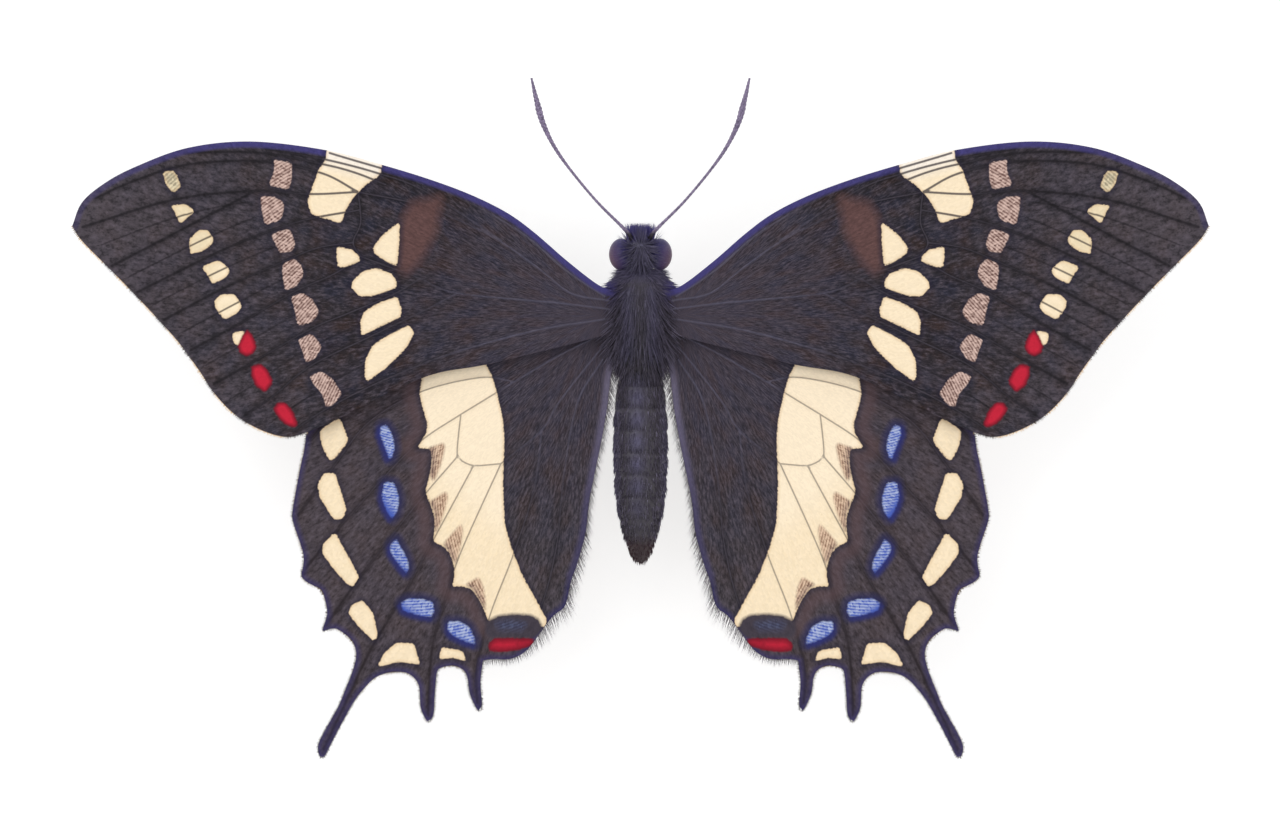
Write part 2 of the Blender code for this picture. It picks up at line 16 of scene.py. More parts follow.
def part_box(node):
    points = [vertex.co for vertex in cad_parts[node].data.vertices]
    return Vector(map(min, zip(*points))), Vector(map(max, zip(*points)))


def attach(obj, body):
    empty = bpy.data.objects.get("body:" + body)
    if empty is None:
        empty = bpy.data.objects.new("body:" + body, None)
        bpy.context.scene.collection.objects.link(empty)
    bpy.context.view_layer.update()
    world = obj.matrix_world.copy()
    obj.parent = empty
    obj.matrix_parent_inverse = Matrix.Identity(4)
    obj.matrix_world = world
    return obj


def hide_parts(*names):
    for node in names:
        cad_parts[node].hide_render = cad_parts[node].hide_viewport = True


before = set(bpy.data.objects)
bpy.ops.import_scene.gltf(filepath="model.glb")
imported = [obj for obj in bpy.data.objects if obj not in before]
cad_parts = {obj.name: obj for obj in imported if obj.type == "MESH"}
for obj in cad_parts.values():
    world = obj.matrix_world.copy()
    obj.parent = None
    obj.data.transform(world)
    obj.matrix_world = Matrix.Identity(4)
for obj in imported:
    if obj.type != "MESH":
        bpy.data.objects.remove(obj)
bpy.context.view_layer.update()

bl_info = {
    "name": "Swallowtail butterfly",
    "version": (1, 0, 0),
    "blender": (4, 5, 0),
    "location": "3D View > Sidebar > Butterfly",
    "description": "Makes the wings, coat, eyes, feelers and legs of a still swallowtail butterfly",
    "category": "Object",
}

MM = 0.001
SEED = 7


def box_mm(node):
    """The low and high corner of a node's box, in millimetres."""
    low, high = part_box(node)
    return np.array(low) / MM, np.array(high) / MM


# Body forms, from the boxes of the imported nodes.
THORAX_LOW, THORAX_HIGH = box_mm("thorax")
THORAX_Y = (THORAX_LOW[1] + THORAX_HIGH[1]) / 2
THORAX_HALF_LENGTH = (THORAX_HIGH[1] - THORAX_LOW[1]) / 2
THORAX_HALF_WIDTH = THORAX_HIGH[0]
THORAX_UP, THORAX_DOWN = 4.1, 4.2
THORAX_Z = THORAX_LOW[2] + THORAX_DOWN
HEAD_FRONT = box_mm("head")[1][1]
HEAD_HALF_LENGTH, HEAD_HALF_WIDTH, HEAD_UP, HEAD_DOWN = 2.05, 1.75, 1.9, 1.8
HEAD_Y, HEAD_Z = HEAD_FRONT - HEAD_HALF_LENGTH, THORAX_Z + 0.5
ABDOMEN_TIP = box_mm("abdomen")[0][1]
ABDOMEN_LENGTH, ABDOMEN_HALF_WIDTH, ABDOMEN_HALF_HEIGHT = 19.3, 2.62, 2.45
ABDOMEN_START = ABDOMEN_TIP + ABDOMEN_LENGTH
ABDOMEN_STEP, ABDOMEN_DROOP = 0.4, 1.2
ABDOMEN_SEGMENTS = 9
EYE_MIDDLE = np.array((HEAD_HALF_WIDTH + 0.1, HEAD_Y - 0.35, HEAD_Z + 0.1))
EYE_RADII = np.array((1.15, 1.5, 1.55))

# Fractions: place along the length, width, height above and below the axis.
THORAX_SHAPE = np.array((
    (-1.0, 0.0, 0.0, 0.0), (-0.96, 0.30, 0.28, 0.28), (-0.86, 0.57, 0.52, 0.50),
    (-0.68, 0.79, 0.72, 0.74), (-0.40, 0.94, 0.92, 0.94), (-0.05, 1.0, 1.0, 1.0),
    (0.28, 0.98, 0.97, 0.95), (0.54, 0.93, 0.87, 0.82), (0.70, 0.84, 0.75, 0.69),
    (0.82, 0.70, 0.61, 0.56), (0.92, 0.50, 0.44, 0.40), (0.98, 0.28, 0.26, 0.24),
    (1.0, 0.0, 0.0, 0.0)))
HEAD_SHAPE = np.array((
    (-1.0, 0.0, 0.0, 0.0), (-0.93, 0.36, 0.36, 0.36), (-0.76, 0.66, 0.66, 0.66),
    (-0.45, 0.90, 0.90, 0.90), (-0.05, 1.0, 1.0, 1.0), (0.35, 0.94, 0.93, 0.93),
    (0.68, 0.73, 0.72, 0.76), (0.90, 0.44, 0.42, 0.48), (1.0, 0.0, 0.0, 0.0)))
ABDOMEN_SHAPE = np.array((
    (0.0, 0.62), (0.12, 0.87), (0.28, 0.99), (0.44, 1.0), (0.62, 0.95), (0.75, 0.82),
    (0.87, 0.60), (0.95, 0.38), (0.985, 0.22), (1.0, 0.0)))

# Wing surfaces in height, as the solids have them.
WING_ROOT_X = THORAX_HALF_WIDTH + 0.4
FORE_ROOT_Z = THORAX_Z + 0.47 * THORAX_UP
FORE_RISE, FORE_SAG = 0.060, 0.0011
WING_STEP, HIND_DROOP, HIND_LEVEL_Y = 1.3, 0.0019, 4.0
ROOT_X = THORAX_HALF_WIDTH - 1.3
ROOT = np.array((3.6, 9.8))

FORE_COSTA = ((ROOT_X, 12.1), (4.0, 12.7), (7.0, 15.0), (10.0, 17.6), (12.6, 19.5),
              (16.0, 21.2), (20.0, 22.7), (24.6, 24.1), (30.0, 25.5), (37.0, 26.3),
              (43.0, 25.7), (48.0, 23.9), (51.0, 22.3), (53.1, 20.5), (54.0, 18.3))
FORE_OUTER = ((54.0, 18.3), (53.0, 16.8), (50.0, 13.8), (47.0, 10.7), (44.0, 7.4), (42.0, 4.7),
              (40.3, 2.2), (38.4, 0.3), (36.0, -1.1), (33.6, -1.75), (31.6, -1.3))
FORE_INNER = ((31.6, -1.3), (28.7, 0.0), (20.6, 3.9), (14.8, 5.1), (8.5, 6.6), (ROOT_X, 8.2))
HIND_COSTA = ((ROOT_X, 9.9), (5.0, 10.4), (10.0, 10.1), (16.0, 8.6), (22.0, 6.2), (27.5, 2.8),
              (30.6, 0.0), (31.8, -1.5))
HIND_OUTER = (
    (31.8, -1.5), (32.0, -3.0), (32.4, -4.8), (33.0, -8.0), (33.15, -9.5), (32.7, -11.0),
    (32.1, -13.0), (32.15, -14.2), (32.35, -14.95), (31.9, -15.5), (31.2, -15.9),
    (30.6, -16.2), (30.2, -16.8), (29.85, -18.4), (30.0, -19.2), (30.35, -20.3),
    (29.8, -20.1), (29.1, -20.0), (28.4, -20.4), (27.8, -20.9), (27.3, -21.6),
    (27.1, -22.5), (27.2, -23.2))
HIND_TAILS = (
    (27.2, -23.2), (27.5, -24.2), (28.3, -26.2), (28.9, -27.6), (30.2, -29.9),
    (30.85, -31.4), (30.55, -32.5), (30.1, -32.1), (29.7, -31.3), (28.5, -29.0),
    (27.3, -26.9), (26.6, -26.0), (25.9, -25.2), (25.3, -24.7), (24.5, -24.35),
    (23.5, -24.2), (22.5, -24.2), (21.9, -24.5), (21.4, -25.0), (21.1, -25.7),
    (21.05, -26.8), (20.95, -27.8), (20.35, -29.0), (19.95, -28.7), (19.75, -28.0),
    (19.7, -26.8), (19.5, -24.5), (19.3, -23.9), (18.8, -23.7), (18.0, -23.6),
    (17.2, -23.8), (16.8, -24.1), (16.5, -24.8), (16.4, -25.7), (16.2, -26.6),
    (15.5, -27.95), (15.15, -27.5), (15.3, -25.2), (15.05, -23.1))
HIND_INNER = (
    (15.05, -23.1), (14.2, -22.95), (13.2, -23.0), (12.2, -22.9), (11.2, -22.4),
    (10.4, -21.6), (8.4, -18.9), (7.2, -17.9), (6.6, -15.5), (6.0, -13.8), (5.2, -10.8),
    (4.85, -7.8), (4.2, -4.5), (3.6, -1.5), (3.1, 1.5), (2.8, 4.2), (ROOT_X, 6.6))

FORE_VEINS = {
    "subcosta": ((3.4, 11.6), (7.0, 14.0), (12.0, 18.1), (20.0, 22.2), (29.5, 25.2)),
    "radius": ((3.0, 11.2), (6.6, 11.9), (9.6, 14.2), (14.3, 17.4), (20.8, 20.2), (26.8, 21.5)),
    "radius_1": ((13.2, 16.9), (20.5, 21.6), (25.0, 23.3), (30.0, 24.6), (35.6, 25.6)),
    "radius_2": ((24.2, 22.2), (27.0, 23.3), (30.0, 24.1), (36.0, 25.2), (43.0, 25.3)),
    "radius_3": ((26.8, 21.5), (30.3, 23.3), (36.0, 24.4), (43.0, 24.1), (48.5, 22.4),
                 (51.8, 20.9)),
    "radius_4": ((26.8, 21.5), (31.3, 21.3), (36.6, 21.6), (44.2, 20.8), (53.0, 18.2)),
    "radius_5": ((36.6, 21.6), (40.0, 19.8), (46.5, 16.4), (50.2, 14.5)),
    "media_1": ((26.6, 19.8), (31.6, 18.9), (36.0, 17.5), (40.7, 15.5), (47.8, 12.0)),
    "media_2": ((27.3, 16.7), (30.6, 16.2), (34.1, 14.8), (39.5, 12.4), (45.2, 9.4)),
    "media_3": ((26.6, 15.4), (29.1, 13.7), (32.7, 12.1), (37.9, 9.1), (42.7, 6.5)),
    "cubitus": ((3.0, 10.4), (8.1, 11.0), (17.4, 11.9), (20.9, 13.3), (23.4, 14.2),
                (26.6, 15.4)),
    "cubitus_1": ((20.9, 13.3), (23.4, 11.8), (27.7, 10.0), (31.3, 8.5), (36.7, 5.4),
                  (40.5, 3.3)),
    "cubitus_2": ((17.4, 11.9), (20.6, 10.2), (25.6, 7.8), (31.3, 5.0), (34.9, 2.1),
                  (37.6, 0.3)),
    "anal": ((3.0, 9.5), (10.2, 8.3), (18.1, 6.1), (24.9, 3.4), (30.0, 0.8), (33.0, -1.2)),
    "cell_end": ((26.6, 15.4), (27.3, 16.7), (26.6, 18.3), (26.6, 19.8), (26.8, 21.5)),
}
FORE_FOLDS = (("radius_4", "radius_5"), ("radius_5", "media_1"), ("media_1", "media_2"),
              ("media_2", "media_3"), ("media_3", "cubitus_1"), ("cubitus_1", "cubitus_2"),
              ("cubitus_2", "anal"))
HIND_VEINS = {
    "subcosta": ((3.0, 9.3), (10.0, 8.9), (18.0, 6.6), (25.0, 3.0), (29.6, -0.2), (31.3, -2.0)),
    "radius": ((12.0, 3.5), (15.2, 3.9), (21.0, 2.5), (25.9, -0.4), (29.3, -4.7), (32.6, -9.2)),
    "cell_top": ((3.0, 8.4), (7.6, 6.1), (12.0, 3.5), (17.1, 0.4)),
    "media_1": ((17.1, 0.4), (20.6, -1.9), (23.5, -4.6), (28.7, -10.4), (32.0, -14.4)),
    "media_2": ((17.5, -3.7), (20.6, -7.3), (24.2, -11.8), (27.6, -16.3), (30.0, -19.7)),
    "media_3": ((15.9, -4.5), (19.7, -11.5), (22.6, -16.8), (25.6, -21.8), (27.8, -26.3),
                (30.3, -31.7)),
    "cubitus": ((3.0, 7.6), (7.6, 1.8), (9.4, -1.1), (13.3, -4.3)),
    "cubitus_1": ((13.3, -4.3), (17.1, -12.7), (18.6, -17.2), (19.9, -22.1), (20.3, -28.3)),
    "cubitus_2": ((9.4, -1.1), (10.1, -6.6), (12.1, -12.9), (14.3, -18.6), (15.6, -23.6),
                  (15.6, -27.2)),
    "anal": ((3.6, 5.6), (6.0, 1.5), (7.3, -5.4), (8.0, -12.1), (9.6, -18.2), (12.2, -22.0)),
    "cell_end": ((17.1, 0.4), (17.35, -1.8), (17.45, -3.4), (17.15, -3.95), (16.2, -4.42),
                 (15.6, -4.5), (13.3, -4.3)),
}
HIND_FOLDS = (("subcosta", "radius"), ("radius", "media_1"), ("media_1", "media_2"),
              ("media_2", "media_3"), ("media_3", "cubitus_1"), ("cubitus_1", "cubitus_2"),
              ("cubitus_2", "anal"))

# Markings, each a list of closed spots read from root to margin along the wing.
FORE_MARKS = {
    "cream": (
        ((24.5, 24.3), (26.5, 25.1), (29.7, 25.8), (29.9, 24.6), (30.6, 23.5), (31.1, 22.1),
         (31.6, 20.7), (31.3, 19.4), (30.3, 19.1), (28.4, 18.5), (28.0, 19.7), (27.2, 21.1),
         (25.9, 22.3), (24.7, 23.1)),
        ((26.4, 15.05), (27.3, 16.0), (28.8, 16.35), (28.85, 15.5), (28.7, 14.25), (27.6, 14.5)),
        ((22.85, 18.6), (23.4, 18.3), (24.5, 17.4), (25.4, 16.2), (25.2, 15.6), (24.1, 14.85),
         (23.1, 14.5), (22.9, 16.5)),
        ((23.2, 13.2), (23.7, 13.8), (25.1, 14.3), (26.3, 14.0), (27.3, 13.1), (27.45, 12.4),
         (26.7, 11.6), (25.4, 11.6), (23.15, 12.4)),
        ((23.1, 11.6), (24.6, 11.1), (26.2, 10.2), (26.6, 9.2), (26.5, 7.8), (24.8, 8.7),
         (22.8, 9.6), (22.65, 10.3)),
        ((21.45, 8.1), (22.0, 8.9), (23.6, 8.1), (25.4, 7.0), (26.1, 5.6), (26.2, 4.0),
         (25.95, 3.5), (24.2, 4.75), (22.3, 6.6)),
        ((44.3, 23.55), (45.4, 23.4), (45.0, 22.1), (44.4, 21.4), (43.6, 22.0), (43.9, 22.9)),
        ((42.3, 19.7), (43.15, 20.35), (44.55, 20.25), (44.2, 19.5), (43.7, 18.45)),
        ((40.45, 16.9), (41.1, 17.95), (42.0, 17.85), (42.85, 17.0), (42.75, 15.6),
         (41.8, 15.8), (40.9, 16.35)),
        ((38.95, 14.1), (39.95, 15.05), (41.7, 14.45), (41.1, 13.6), (40.6, 12.75),
         (39.3, 13.45)),
        ((37.8, 10.7), (38.5, 11.8), (39.8, 11.8), (40.5, 11.1), (40.3, 10.4), (39.5, 9.35),
         (38.2, 10.05)),
        ((37.5, 8.35), (38.75, 8.15), (38.65, 7.3), (38.2, 6.85), (37.9, 7.1))),
    "rosy": (
        ((33.1, 24.25), (34.8, 24.55), (34.7, 23.6), (35.25, 22.15), (33.4, 21.75),
         (33.1, 22.8)),
        ((33.95, 20.6), (34.9, 21.05), (36.05, 21.1), (35.9, 19.6), (35.65, 18.4),
         (34.2, 18.85), (33.85, 19.8)),
        ((33.35, 18.05), (35.05, 17.45), (34.6, 16.5), (34.2, 15.75), (33.1, 15.85),
         (32.75, 16.6)),
        ((32.15, 14.4), (32.8, 15.15), (33.95, 14.65), (33.95, 13.8), (33.75, 12.2),
         (32.7, 12.55), (32.0, 13.6)),
        ((30.55, 10.2), (31.2, 11.35), (32.1, 11.9), (33.15, 11.5), (32.8, 10.3), (32.5, 8.85),
         (31.5, 9.05), (30.8, 9.6)),
        ((30.25, 6.8), (31.2, 8.05), (32.45, 7.5), (32.1, 6.5), (31.75, 5.3), (30.9, 5.75)),
        ((28.35, 2.4), (29.2, 3.7), (30.3, 4.45), (31.4, 4.0), (30.9, 3.1), (30.2, 2.4),
         (29.8, 1.05), (29.1, 1.4))),
    "red": (
        ((37.3, 8.45), (37.8, 7.9), (38.25, 6.9), (38.05, 6.25), (37.4, 5.9), (36.8, 6.1),
         (36.4, 6.8), (36.8, 7.9)),
        ((34.85, 3.5), (35.4, 4.6), (36.0, 5.2), (36.95, 5.0), (36.95, 4.1), (36.5, 3.05),
         (35.6, 2.45)),
        ((32.5, -0.5), (33.0, 0.7), (33.7, 1.55), (34.4, 1.55), (34.85, 0.9), (34.4, 0.1),
         (33.6, -0.65), (32.8, -0.85))),
    "brown": (((18.8, 21.1), (21.6, 20.6), (22.5, 19.4), (22.9, 17.9), (23.0, 14.4),
               (22.2, 13.6), (20.6, 15.3), (19.4, 17.6)),),
}
HIND_MARKS = {
    "cream": (
        ((14.8, 5.3), (18.5, 4.7), (20.75, 4.1), (21.05, 2.4), (20.7, 0.9), (20.3, -0.4),
         (20.35, -1.3), (20.9, -2.2), (21.25, -2.8), (19.95, -2.9), (19.85, -3.8),
         (20.05, -5.3), (20.5, -7.0), (19.95, -8.3), (19.65, -9.3), (19.6, -10.6),
         (19.75, -11.75), (18.75, -12.2), (18.15, -12.9), (17.8, -13.9), (17.75, -15.0),
         (17.95, -16.0), (16.9, -16.0), (16.1, -16.3), (15.35, -17.3), (14.9, -18.3),
         (14.5, -19.4), (13.5, -19.2), (12.0, -19.2), (10.2, -19.5), (9.2, -20.0),
         (8.9, -19.3), (9.9, -17.4), (11.2, -15.1), (12.2, -12.6), (12.95, -10.0),
         (13.1, -6.0), (12.95, -2.0), (13.1, 0.0), (13.8, 3.0), (14.2, 4.2)),
        ((28.6, 0.1), (30.55, -1.1), (30.35, -2.6), (29.6, -4.0), (29.1, -3.8),
         (27.75, -2.1)),
        ((29.1, -5.15), (30.2, -5.25), (30.75, -6.3), (30.5, -7.6), (29.2, -9.65),
         (28.3, -9.5), (28.0, -8.6), (28.5, -6.9)),
        ((29.1, -10.8), (30.25, -12.0), (30.35, -12.8), (29.4, -14.1), (28.0, -15.75),
         (27.4, -16.1), (26.8, -15.1), (27.9, -13.0)),
        ((26.5, -17.25), (27.6, -17.85), (27.85, -18.6), (26.9, -19.8), (25.45, -21.3),
         (25.05, -20.8), (25.45, -18.6)),
        ((21.6, -21.45), (23.2, -21.35), (24.4, -22.3), (25.15, -23.7), (22.9, -23.2),
         (21.0, -23.55), (21.35, -22.3)),
        ((18.95, -21.8), (17.0, -22.15), (16.6, -23.2), (17.8, -22.85), (19.3, -22.95))),
    "blue": (
        ((24.1, -0.52), (24.8, -0.62), (24.9, -1.52), (24.5, -2.62), (24.0, -4.02), (23.6, -3.82),
         (23.25, -2.72), (23.5, -1.52)),
        ((23.4, -6.02), (24.45, -5.92), (24.75, -7.32), (24.45, -8.52), (23.7, -9.72),
         (23.1, -9.02), (22.85, -7.82), (23.1, -6.72)),
        ((23.2, -11.32), (23.9, -11.92), (23.95, -12.72), (23.1, -14.02), (22.3, -14.92),
         (21.95, -14.22), (22.1, -13.32), (22.7, -12.22)),
        ((19.75, -17.42), (20.7, -17.07), (22.2, -17.07), (23.0, -17.52), (22.7, -18.42),
         (21.2, -18.87), (19.85, -19.07), (19.55, -18.22)),
        ((15.7, -21.02), (16.2, -19.82), (17.3, -19.22), (18.45, -19.27), (18.5, -20.12),
         (18.1, -20.72), (16.9, -21.32), (15.75, -21.72))),
    "bar": (((9.4, -19.7), (9.7, -19.1), (10.5, -18.7), (12.0, -18.6), (13.6, -18.75),
             (14.6, -19.3), (14.9, -20.2), (14.6, -20.9), (12.5, -20.9), (10.0, -20.85),
             (9.5, -20.4)),),
    "bar_core": (((11.0, -19.6), (12.4, -19.35), (13.7, -19.5), (13.4, -20.05),
                  (11.4, -20.1)),),
    "red": (((9.9, -21.15), (10.4, -21.0), (12.2, -20.95), (13.9, -20.95), (14.5, -21.4),
             (14.5, -22.15), (13.4, -22.3), (11.9, -22.15), (10.5, -21.75)),),
    "tips": (
        ((20.2, -2.75), (18.7, -2.3), (18.6, -2.8), (19.0, -4.5), (19.7, -6.1), (20.1, -5.4),
         (19.85, -3.9)),
        ((20.1, -7.9), (18.5, -6.9), (18.3, -7.5), (18.7, -9.0), (19.4, -10.9), (19.65, -10.4),
         (19.6, -9.1)),
        ((18.8, -11.9), (17.1, -10.0), (16.9, -10.6), (17.1, -12.0), (17.55, -13.9),
         (17.9, -13.5), (18.3, -12.7)),
        ((16.7, -15.8), (15.4, -15.1), (15.0, -15.9), (14.75, -17.4), (14.8, -18.3),
         (15.4, -17.3), (16.0, -16.3))),
}

# The first cream marking of each wing is crossed by dark vein lines.
LINED_SPOTS = 1

# How far the scales of each marking spread past the points above.
SPREAD = {"cream": -0.01, "blue": -0.13, "blue_rim": -0.06, "rosy": 0.02, "red": 0.01,
          "bar_core": 0.05}

# Legs: root, trochanter, knee, ankle, heel and toe.
SOLE_Z = 0.17
LEG_ROOT_Z = THORAX_Z - 0.5 * THORAX_DOWN
LEGS = {
    "front": ((1.3, 11.3, LEG_ROOT_Z), (2.7, 11.5, 8.3), (7.7, 12.5, 9.6), (10.2, 14.4, 1.3),
              (11.3, 15.1, SOLE_Z), (15.2, 17.3, SOLE_Z)),
    "middle": ((1.6, 9.3, LEG_ROOT_Z), (3.3, 9.3, 7.4), (9.6, 8.9, 9.8), (13.1, 8.4, 1.3),
               (14.4, 8.2, SOLE_Z), (18.8, 7.6, SOLE_Z)),
    "hind": ((1.5, 6.8, LEG_ROOT_Z), (2.9, 6.2, 7.6), (8.4, 1.9, 9.8), (11.7, -1.7, 1.3),
             (12.6, -2.7, SOLE_Z), (15.4, -6.4, SOLE_Z)),
}
LEG_RADII = (0.72, 0.52, 0.34, 0.25, 0.17, 0.15)
ANTENNA_PATH = ((0.75, HEAD_Y + 0.9, HEAD_Z + 0.9), (1.45, 17.9, 14.6), (4.35, 20.8, 15.4),
                (7.5, 24.7, 16.4), (9.1, 27.6, 17.1), (9.85, 30.2, 17.4), (10.3, 32.15, 17.5))
ANTENNA_RADII = (0.24, 0.15, 0.13, 0.14, 0.20, 0.33, 0.10)
PALP_PATH = ((0.6, HEAD_Y + 0.3, HEAD_Z - 1.2), (0.62, HEAD_Y + 1.3, HEAD_Z - 1.8),
             (0.58, HEAD_Y + 1.9, HEAD_Z - 0.9), (0.5, HEAD_Y + 1.95, HEAD_Z + 0.1))
PALP_RADII = (0.30, 0.34, 0.28, 0.14)
COIL_Y, COIL_Z = HEAD_Y + 0.15, HEAD_Z - HEAD_DOWN - 1.55
COIL_OUTER, COIL_PITCH, COIL_TURNS = 1.45, 0.78, 1.6


# Colours and settings a user would change

def linear(hex_colour):
    """A linear RGBA colour from an sRGB hex value."""
    parts = [int(hex_colour[i:i + 2], 16) / 255 for i in (1, 3, 5)]
    return (*[p / 12.92 if p <= 0.04045 else ((p + 0.055) / 1.055) ** 2.4 for p in parts], 1.0)


def colour(name, description, hex_colour):
    """A colour setting with its default."""
    return bpy.props.FloatVectorProperty(name=name, description=description, size=4, min=0.0,
                                         max=1.0, subtype="COLOR", default=linear(hex_colour))


def length(name, description, millimetres):
    """A length setting with its default."""
    return bpy.props.FloatProperty(name=name, description=description, unit="LENGTH",
                                   subtype="DISTANCE", default=millimetres * MM, precision=5)


class WingSettings(bpy.types.PropertyGroup):
    """Sizes and colours of the wings and their margin hair"""
    membrane: length("Membrane", "Thickness of the wing between its veins", 0.20)
    vein: length("Vein", "Thickness over a main vein at the wing's root", 0.62)
    swell: length("Swell", "How far the membrane rises between its veins", 0.10)
    grid: length("Grid", "Spacing of the mesh between the veins", 0.24)
    fringe: length("Fringe", "Length of the scale hairs along the outer margins", 0.34)
    inner_hair: length("Inner hair", "Length of the long hair along the inner margins", 2.1)
    ground: colour("Ground", "Brownish-black ground scales", "#2A252A")
    cream: colour("Cream", "Scales of the bands and spots", "#F9E7CB")
    rosy: colour("Rosy grey", "Dusted scales of the middle row of spots", "#D2B5AA")
    red: colour("Red", "Scales of the red spots", "#BE1E36")
    blue: colour("Blue", "Scales of the blue lunules", "#465CB0")
    navy: colour("Navy", "Dark blue round the lunules", "#26274F")
    costa: colour("Leading edge", "Blue-violet bloom along the leading edge", "#3F3A74")


class BodySettings(bpy.types.PropertyGroup):
    """Sizes and colours of the coat, eyes, feelers and legs"""
    thorax_depth: length("Thorax coat", "Depth of the coat over the thorax's skin", 0.55)
    abdomen_depth: length("Abdomen coat", "Depth of the coat over the abdomen's skin", 0.16)
    tuft: length("Tuft", "Half thickness of a tuft of hair at its root", 0.055)
    hair: colour("Hair", "Brown-black hair of the body", "#3D3743")
    # Bloom: blue-grey hair, and also the colour of the painted highlight along the abdomen's back
    # and on the head.
    bloom: colour("Bloom", "Blue-grey bloom on the longest hair", "#605C84")
    # The eye colour is a painted red-brown glow on the outer side of each eye.
    eye: colour("Eye", "Red-brown glow of the compound eyes", "#583F54")
    feeler: colour("Feeler", "Scaled shafts of the feelers", "#8E7F9E")
    leg: colour("Leg", "Cuticle of the legs", "#2B2422")


class StageSettings(bpy.types.PropertyGroup):
    """Floor, light and view"""
    floor: colour("Floor", "Pale floor", "#B4B4B4")
    glow: bpy.props.FloatProperty(name="Glow", description="Light from under the floor",
                                  default=0.66, min=0.0, max=2.0)
    view_width: length("View width", "Width of the view at the height of the wings", 121.7)
    focal: bpy.props.FloatProperty(name="Focal length", description="Lens of the camera",
                                   default=150.0, unit="CAMERA", min=20.0)


# Mesh helpers

# A distance that stands for "not near", how far outside a spot its depth is followed, and the
# share of a spot's sides that is cut off at its corners.
FAR = 9.0
SPOT_REACH = 2.0
CORNER = 0.12


def add(tree, kind, inputs=(), **settings):
    """Add one node to a tree, with its settings, constant inputs and links."""
    made = tree.nodes.new(kind)
    for name, value in settings.items():
        setattr(made, name, value)
    for key, value in dict(inputs).items():
        if isinstance(value, bpy.types.NodeSocket):
            tree.links.new(value, made.inputs[key])
        else:
            made.inputs[key].default_value = value
    return made


def mesh_from(name, points, faces):
    """A smooth mesh from points in millimetres."""
    mesh = bpy.data.meshes.new(name)
    mesh.from_pydata(np.asarray(points, float) * MM, [], faces)
    mesh.validate()
    mesh.shade_smooth()
    return mesh


def points_of(mesh):
    """The points of a mesh in millimetres, one row each."""
    at = np.zeros(len(mesh.vertices) * 3)
    mesh.vertices.foreach_get("co", at)
    return at.reshape(-1, 3) / MM


def give(mesh, name, values, kind="FLOAT", domain="POINT"):
    """Store one attribute on a mesh, given one row for each point or corner."""
    layer = mesh.attributes.new(name, kind, domain)
    field = "value" if kind == "FLOAT" else "vector"
    layer.data.foreach_set(field, np.asarray(values, np.float32).ravel())


def place(name, mesh, finish, slot, *nodes):
    """Show a finished mesh as a piece that rides on the body and stands for some nodes."""
    piece = bpy.data.objects.new(name, mesh)
    bpy.context.scene.collection.objects.link(piece)
    mesh.materials.clear()
    mesh.materials.append(finish)
    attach(piece, "root")
    if nodes:
        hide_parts(*nodes)
    return piece


def mirrored(mesh, name):
    """The same mesh for the left side, with its faces still pointing outwards."""
    copy = mesh.copy()
    copy.name = name
    for vert in copy.vertices:
        vert.co.x = -vert.co.x
    copy.flip_normals()
    return copy


def both_sides(stem, mesh, finish, slot, node_stem=None):
    """Show a mesh of the right side and its mirror image, each for the node of its side."""
    for side in ("right", "left"):
        shape = mesh if side == "right" else mirrored(mesh, stem + "_left")
        nodes = [f"{node_stem}_{side}"] if node_stem else []
        place(f"{stem}_{side}", shape, finish, slot, *nodes)


def outwards(mesh):
    """The same mesh with every face pointing outwards."""
    bm = bmesh.new()
    bm.from_mesh(mesh)
    bmesh.ops.recalc_face_normals(bm, faces=bm.faces)
    bm.to_mesh(mesh)
    bm.free()
    return mesh


def joined(name, meshes):
    """Several meshes as one, keeping their closed skins apart."""
    bm = bmesh.new()
    for mesh in meshes:
        bm.from_mesh(mesh)
    made = bpy.data.meshes.new(name)
    bm.to_mesh(made)
    bm.free()
    made.shade_smooth()
    return made


# Lines, spots and profiles

def hump(at, middle, width):
    """One at the middle, falling smoothly to almost nothing two widths away from it."""
    return np.exp(-((at - middle) / width) ** 2)


def rise(at, start, span, least=0):
    """Least before the start, then up to one over the span, backwards where that is negative."""
    return np.clip((at - start) / span, least, 1)


def profile(at, pairs):
    """The value at each place, between the (place, value) pairs of a profile."""
    return np.interp(at, *np.transpose(pairs))


def eased(points, spacing):
    """Points of a run eased through its corners, at about one spacing."""
    points = np.array(points, float)
    ends = np.vstack([2 * points[0] - points[1], points, 2 * points[-1] - points[-2]])
    run = []
    for i in range(len(points) - 1):
        a, b, c, d = ends[i:i + 4]
        parts = max(1, round(np.linalg.norm(c - b) / spacing))
        t = (np.arange(parts) / parts)[:, None]
        run.append(0.5 * (2 * b + (c - a) * t + (2 * a - 5 * b + 4 * c - d) * t ** 2
                          + (3 * b - a - 3 * c + d) * t ** 3))
    return np.vstack([*run, points[-1:]])


def along_of(points):
    """How far along a run each of its points is."""
    steps = np.linalg.norm(np.diff(points, axis=0), axis=1)
    return np.concatenate([[0.0], np.cumsum(steps)])


def headings(points):
    """The unit direction of a run at each of its points."""
    along = np.gradient(points, axis=0)
    return along / np.linalg.norm(along, axis=1)[:, None]


def even(points, spacing, values=None):
    """Points at one spacing along a run, with values carried along."""
    along = along_of(points)
    marks = np.linspace(0.0, along[-1], max(2, int(along[-1] / spacing) + 1))
    run = np.column_stack([np.interp(marks, along, column) for column in points.T])
    return run if values is None else (run, np.interp(marks, along, values))


def ways_to(points, runs):
    """For each straight piece of some runs, its course and the way from it to every point."""
    for run in runs:
        for a, b in zip(run, run[1:]):
            course = b - a
            t = np.clip((points - a) @ course / max(course @ course, 1e-12), 0.0, 1.0)
            yield course, points - a - t[:, None] * course


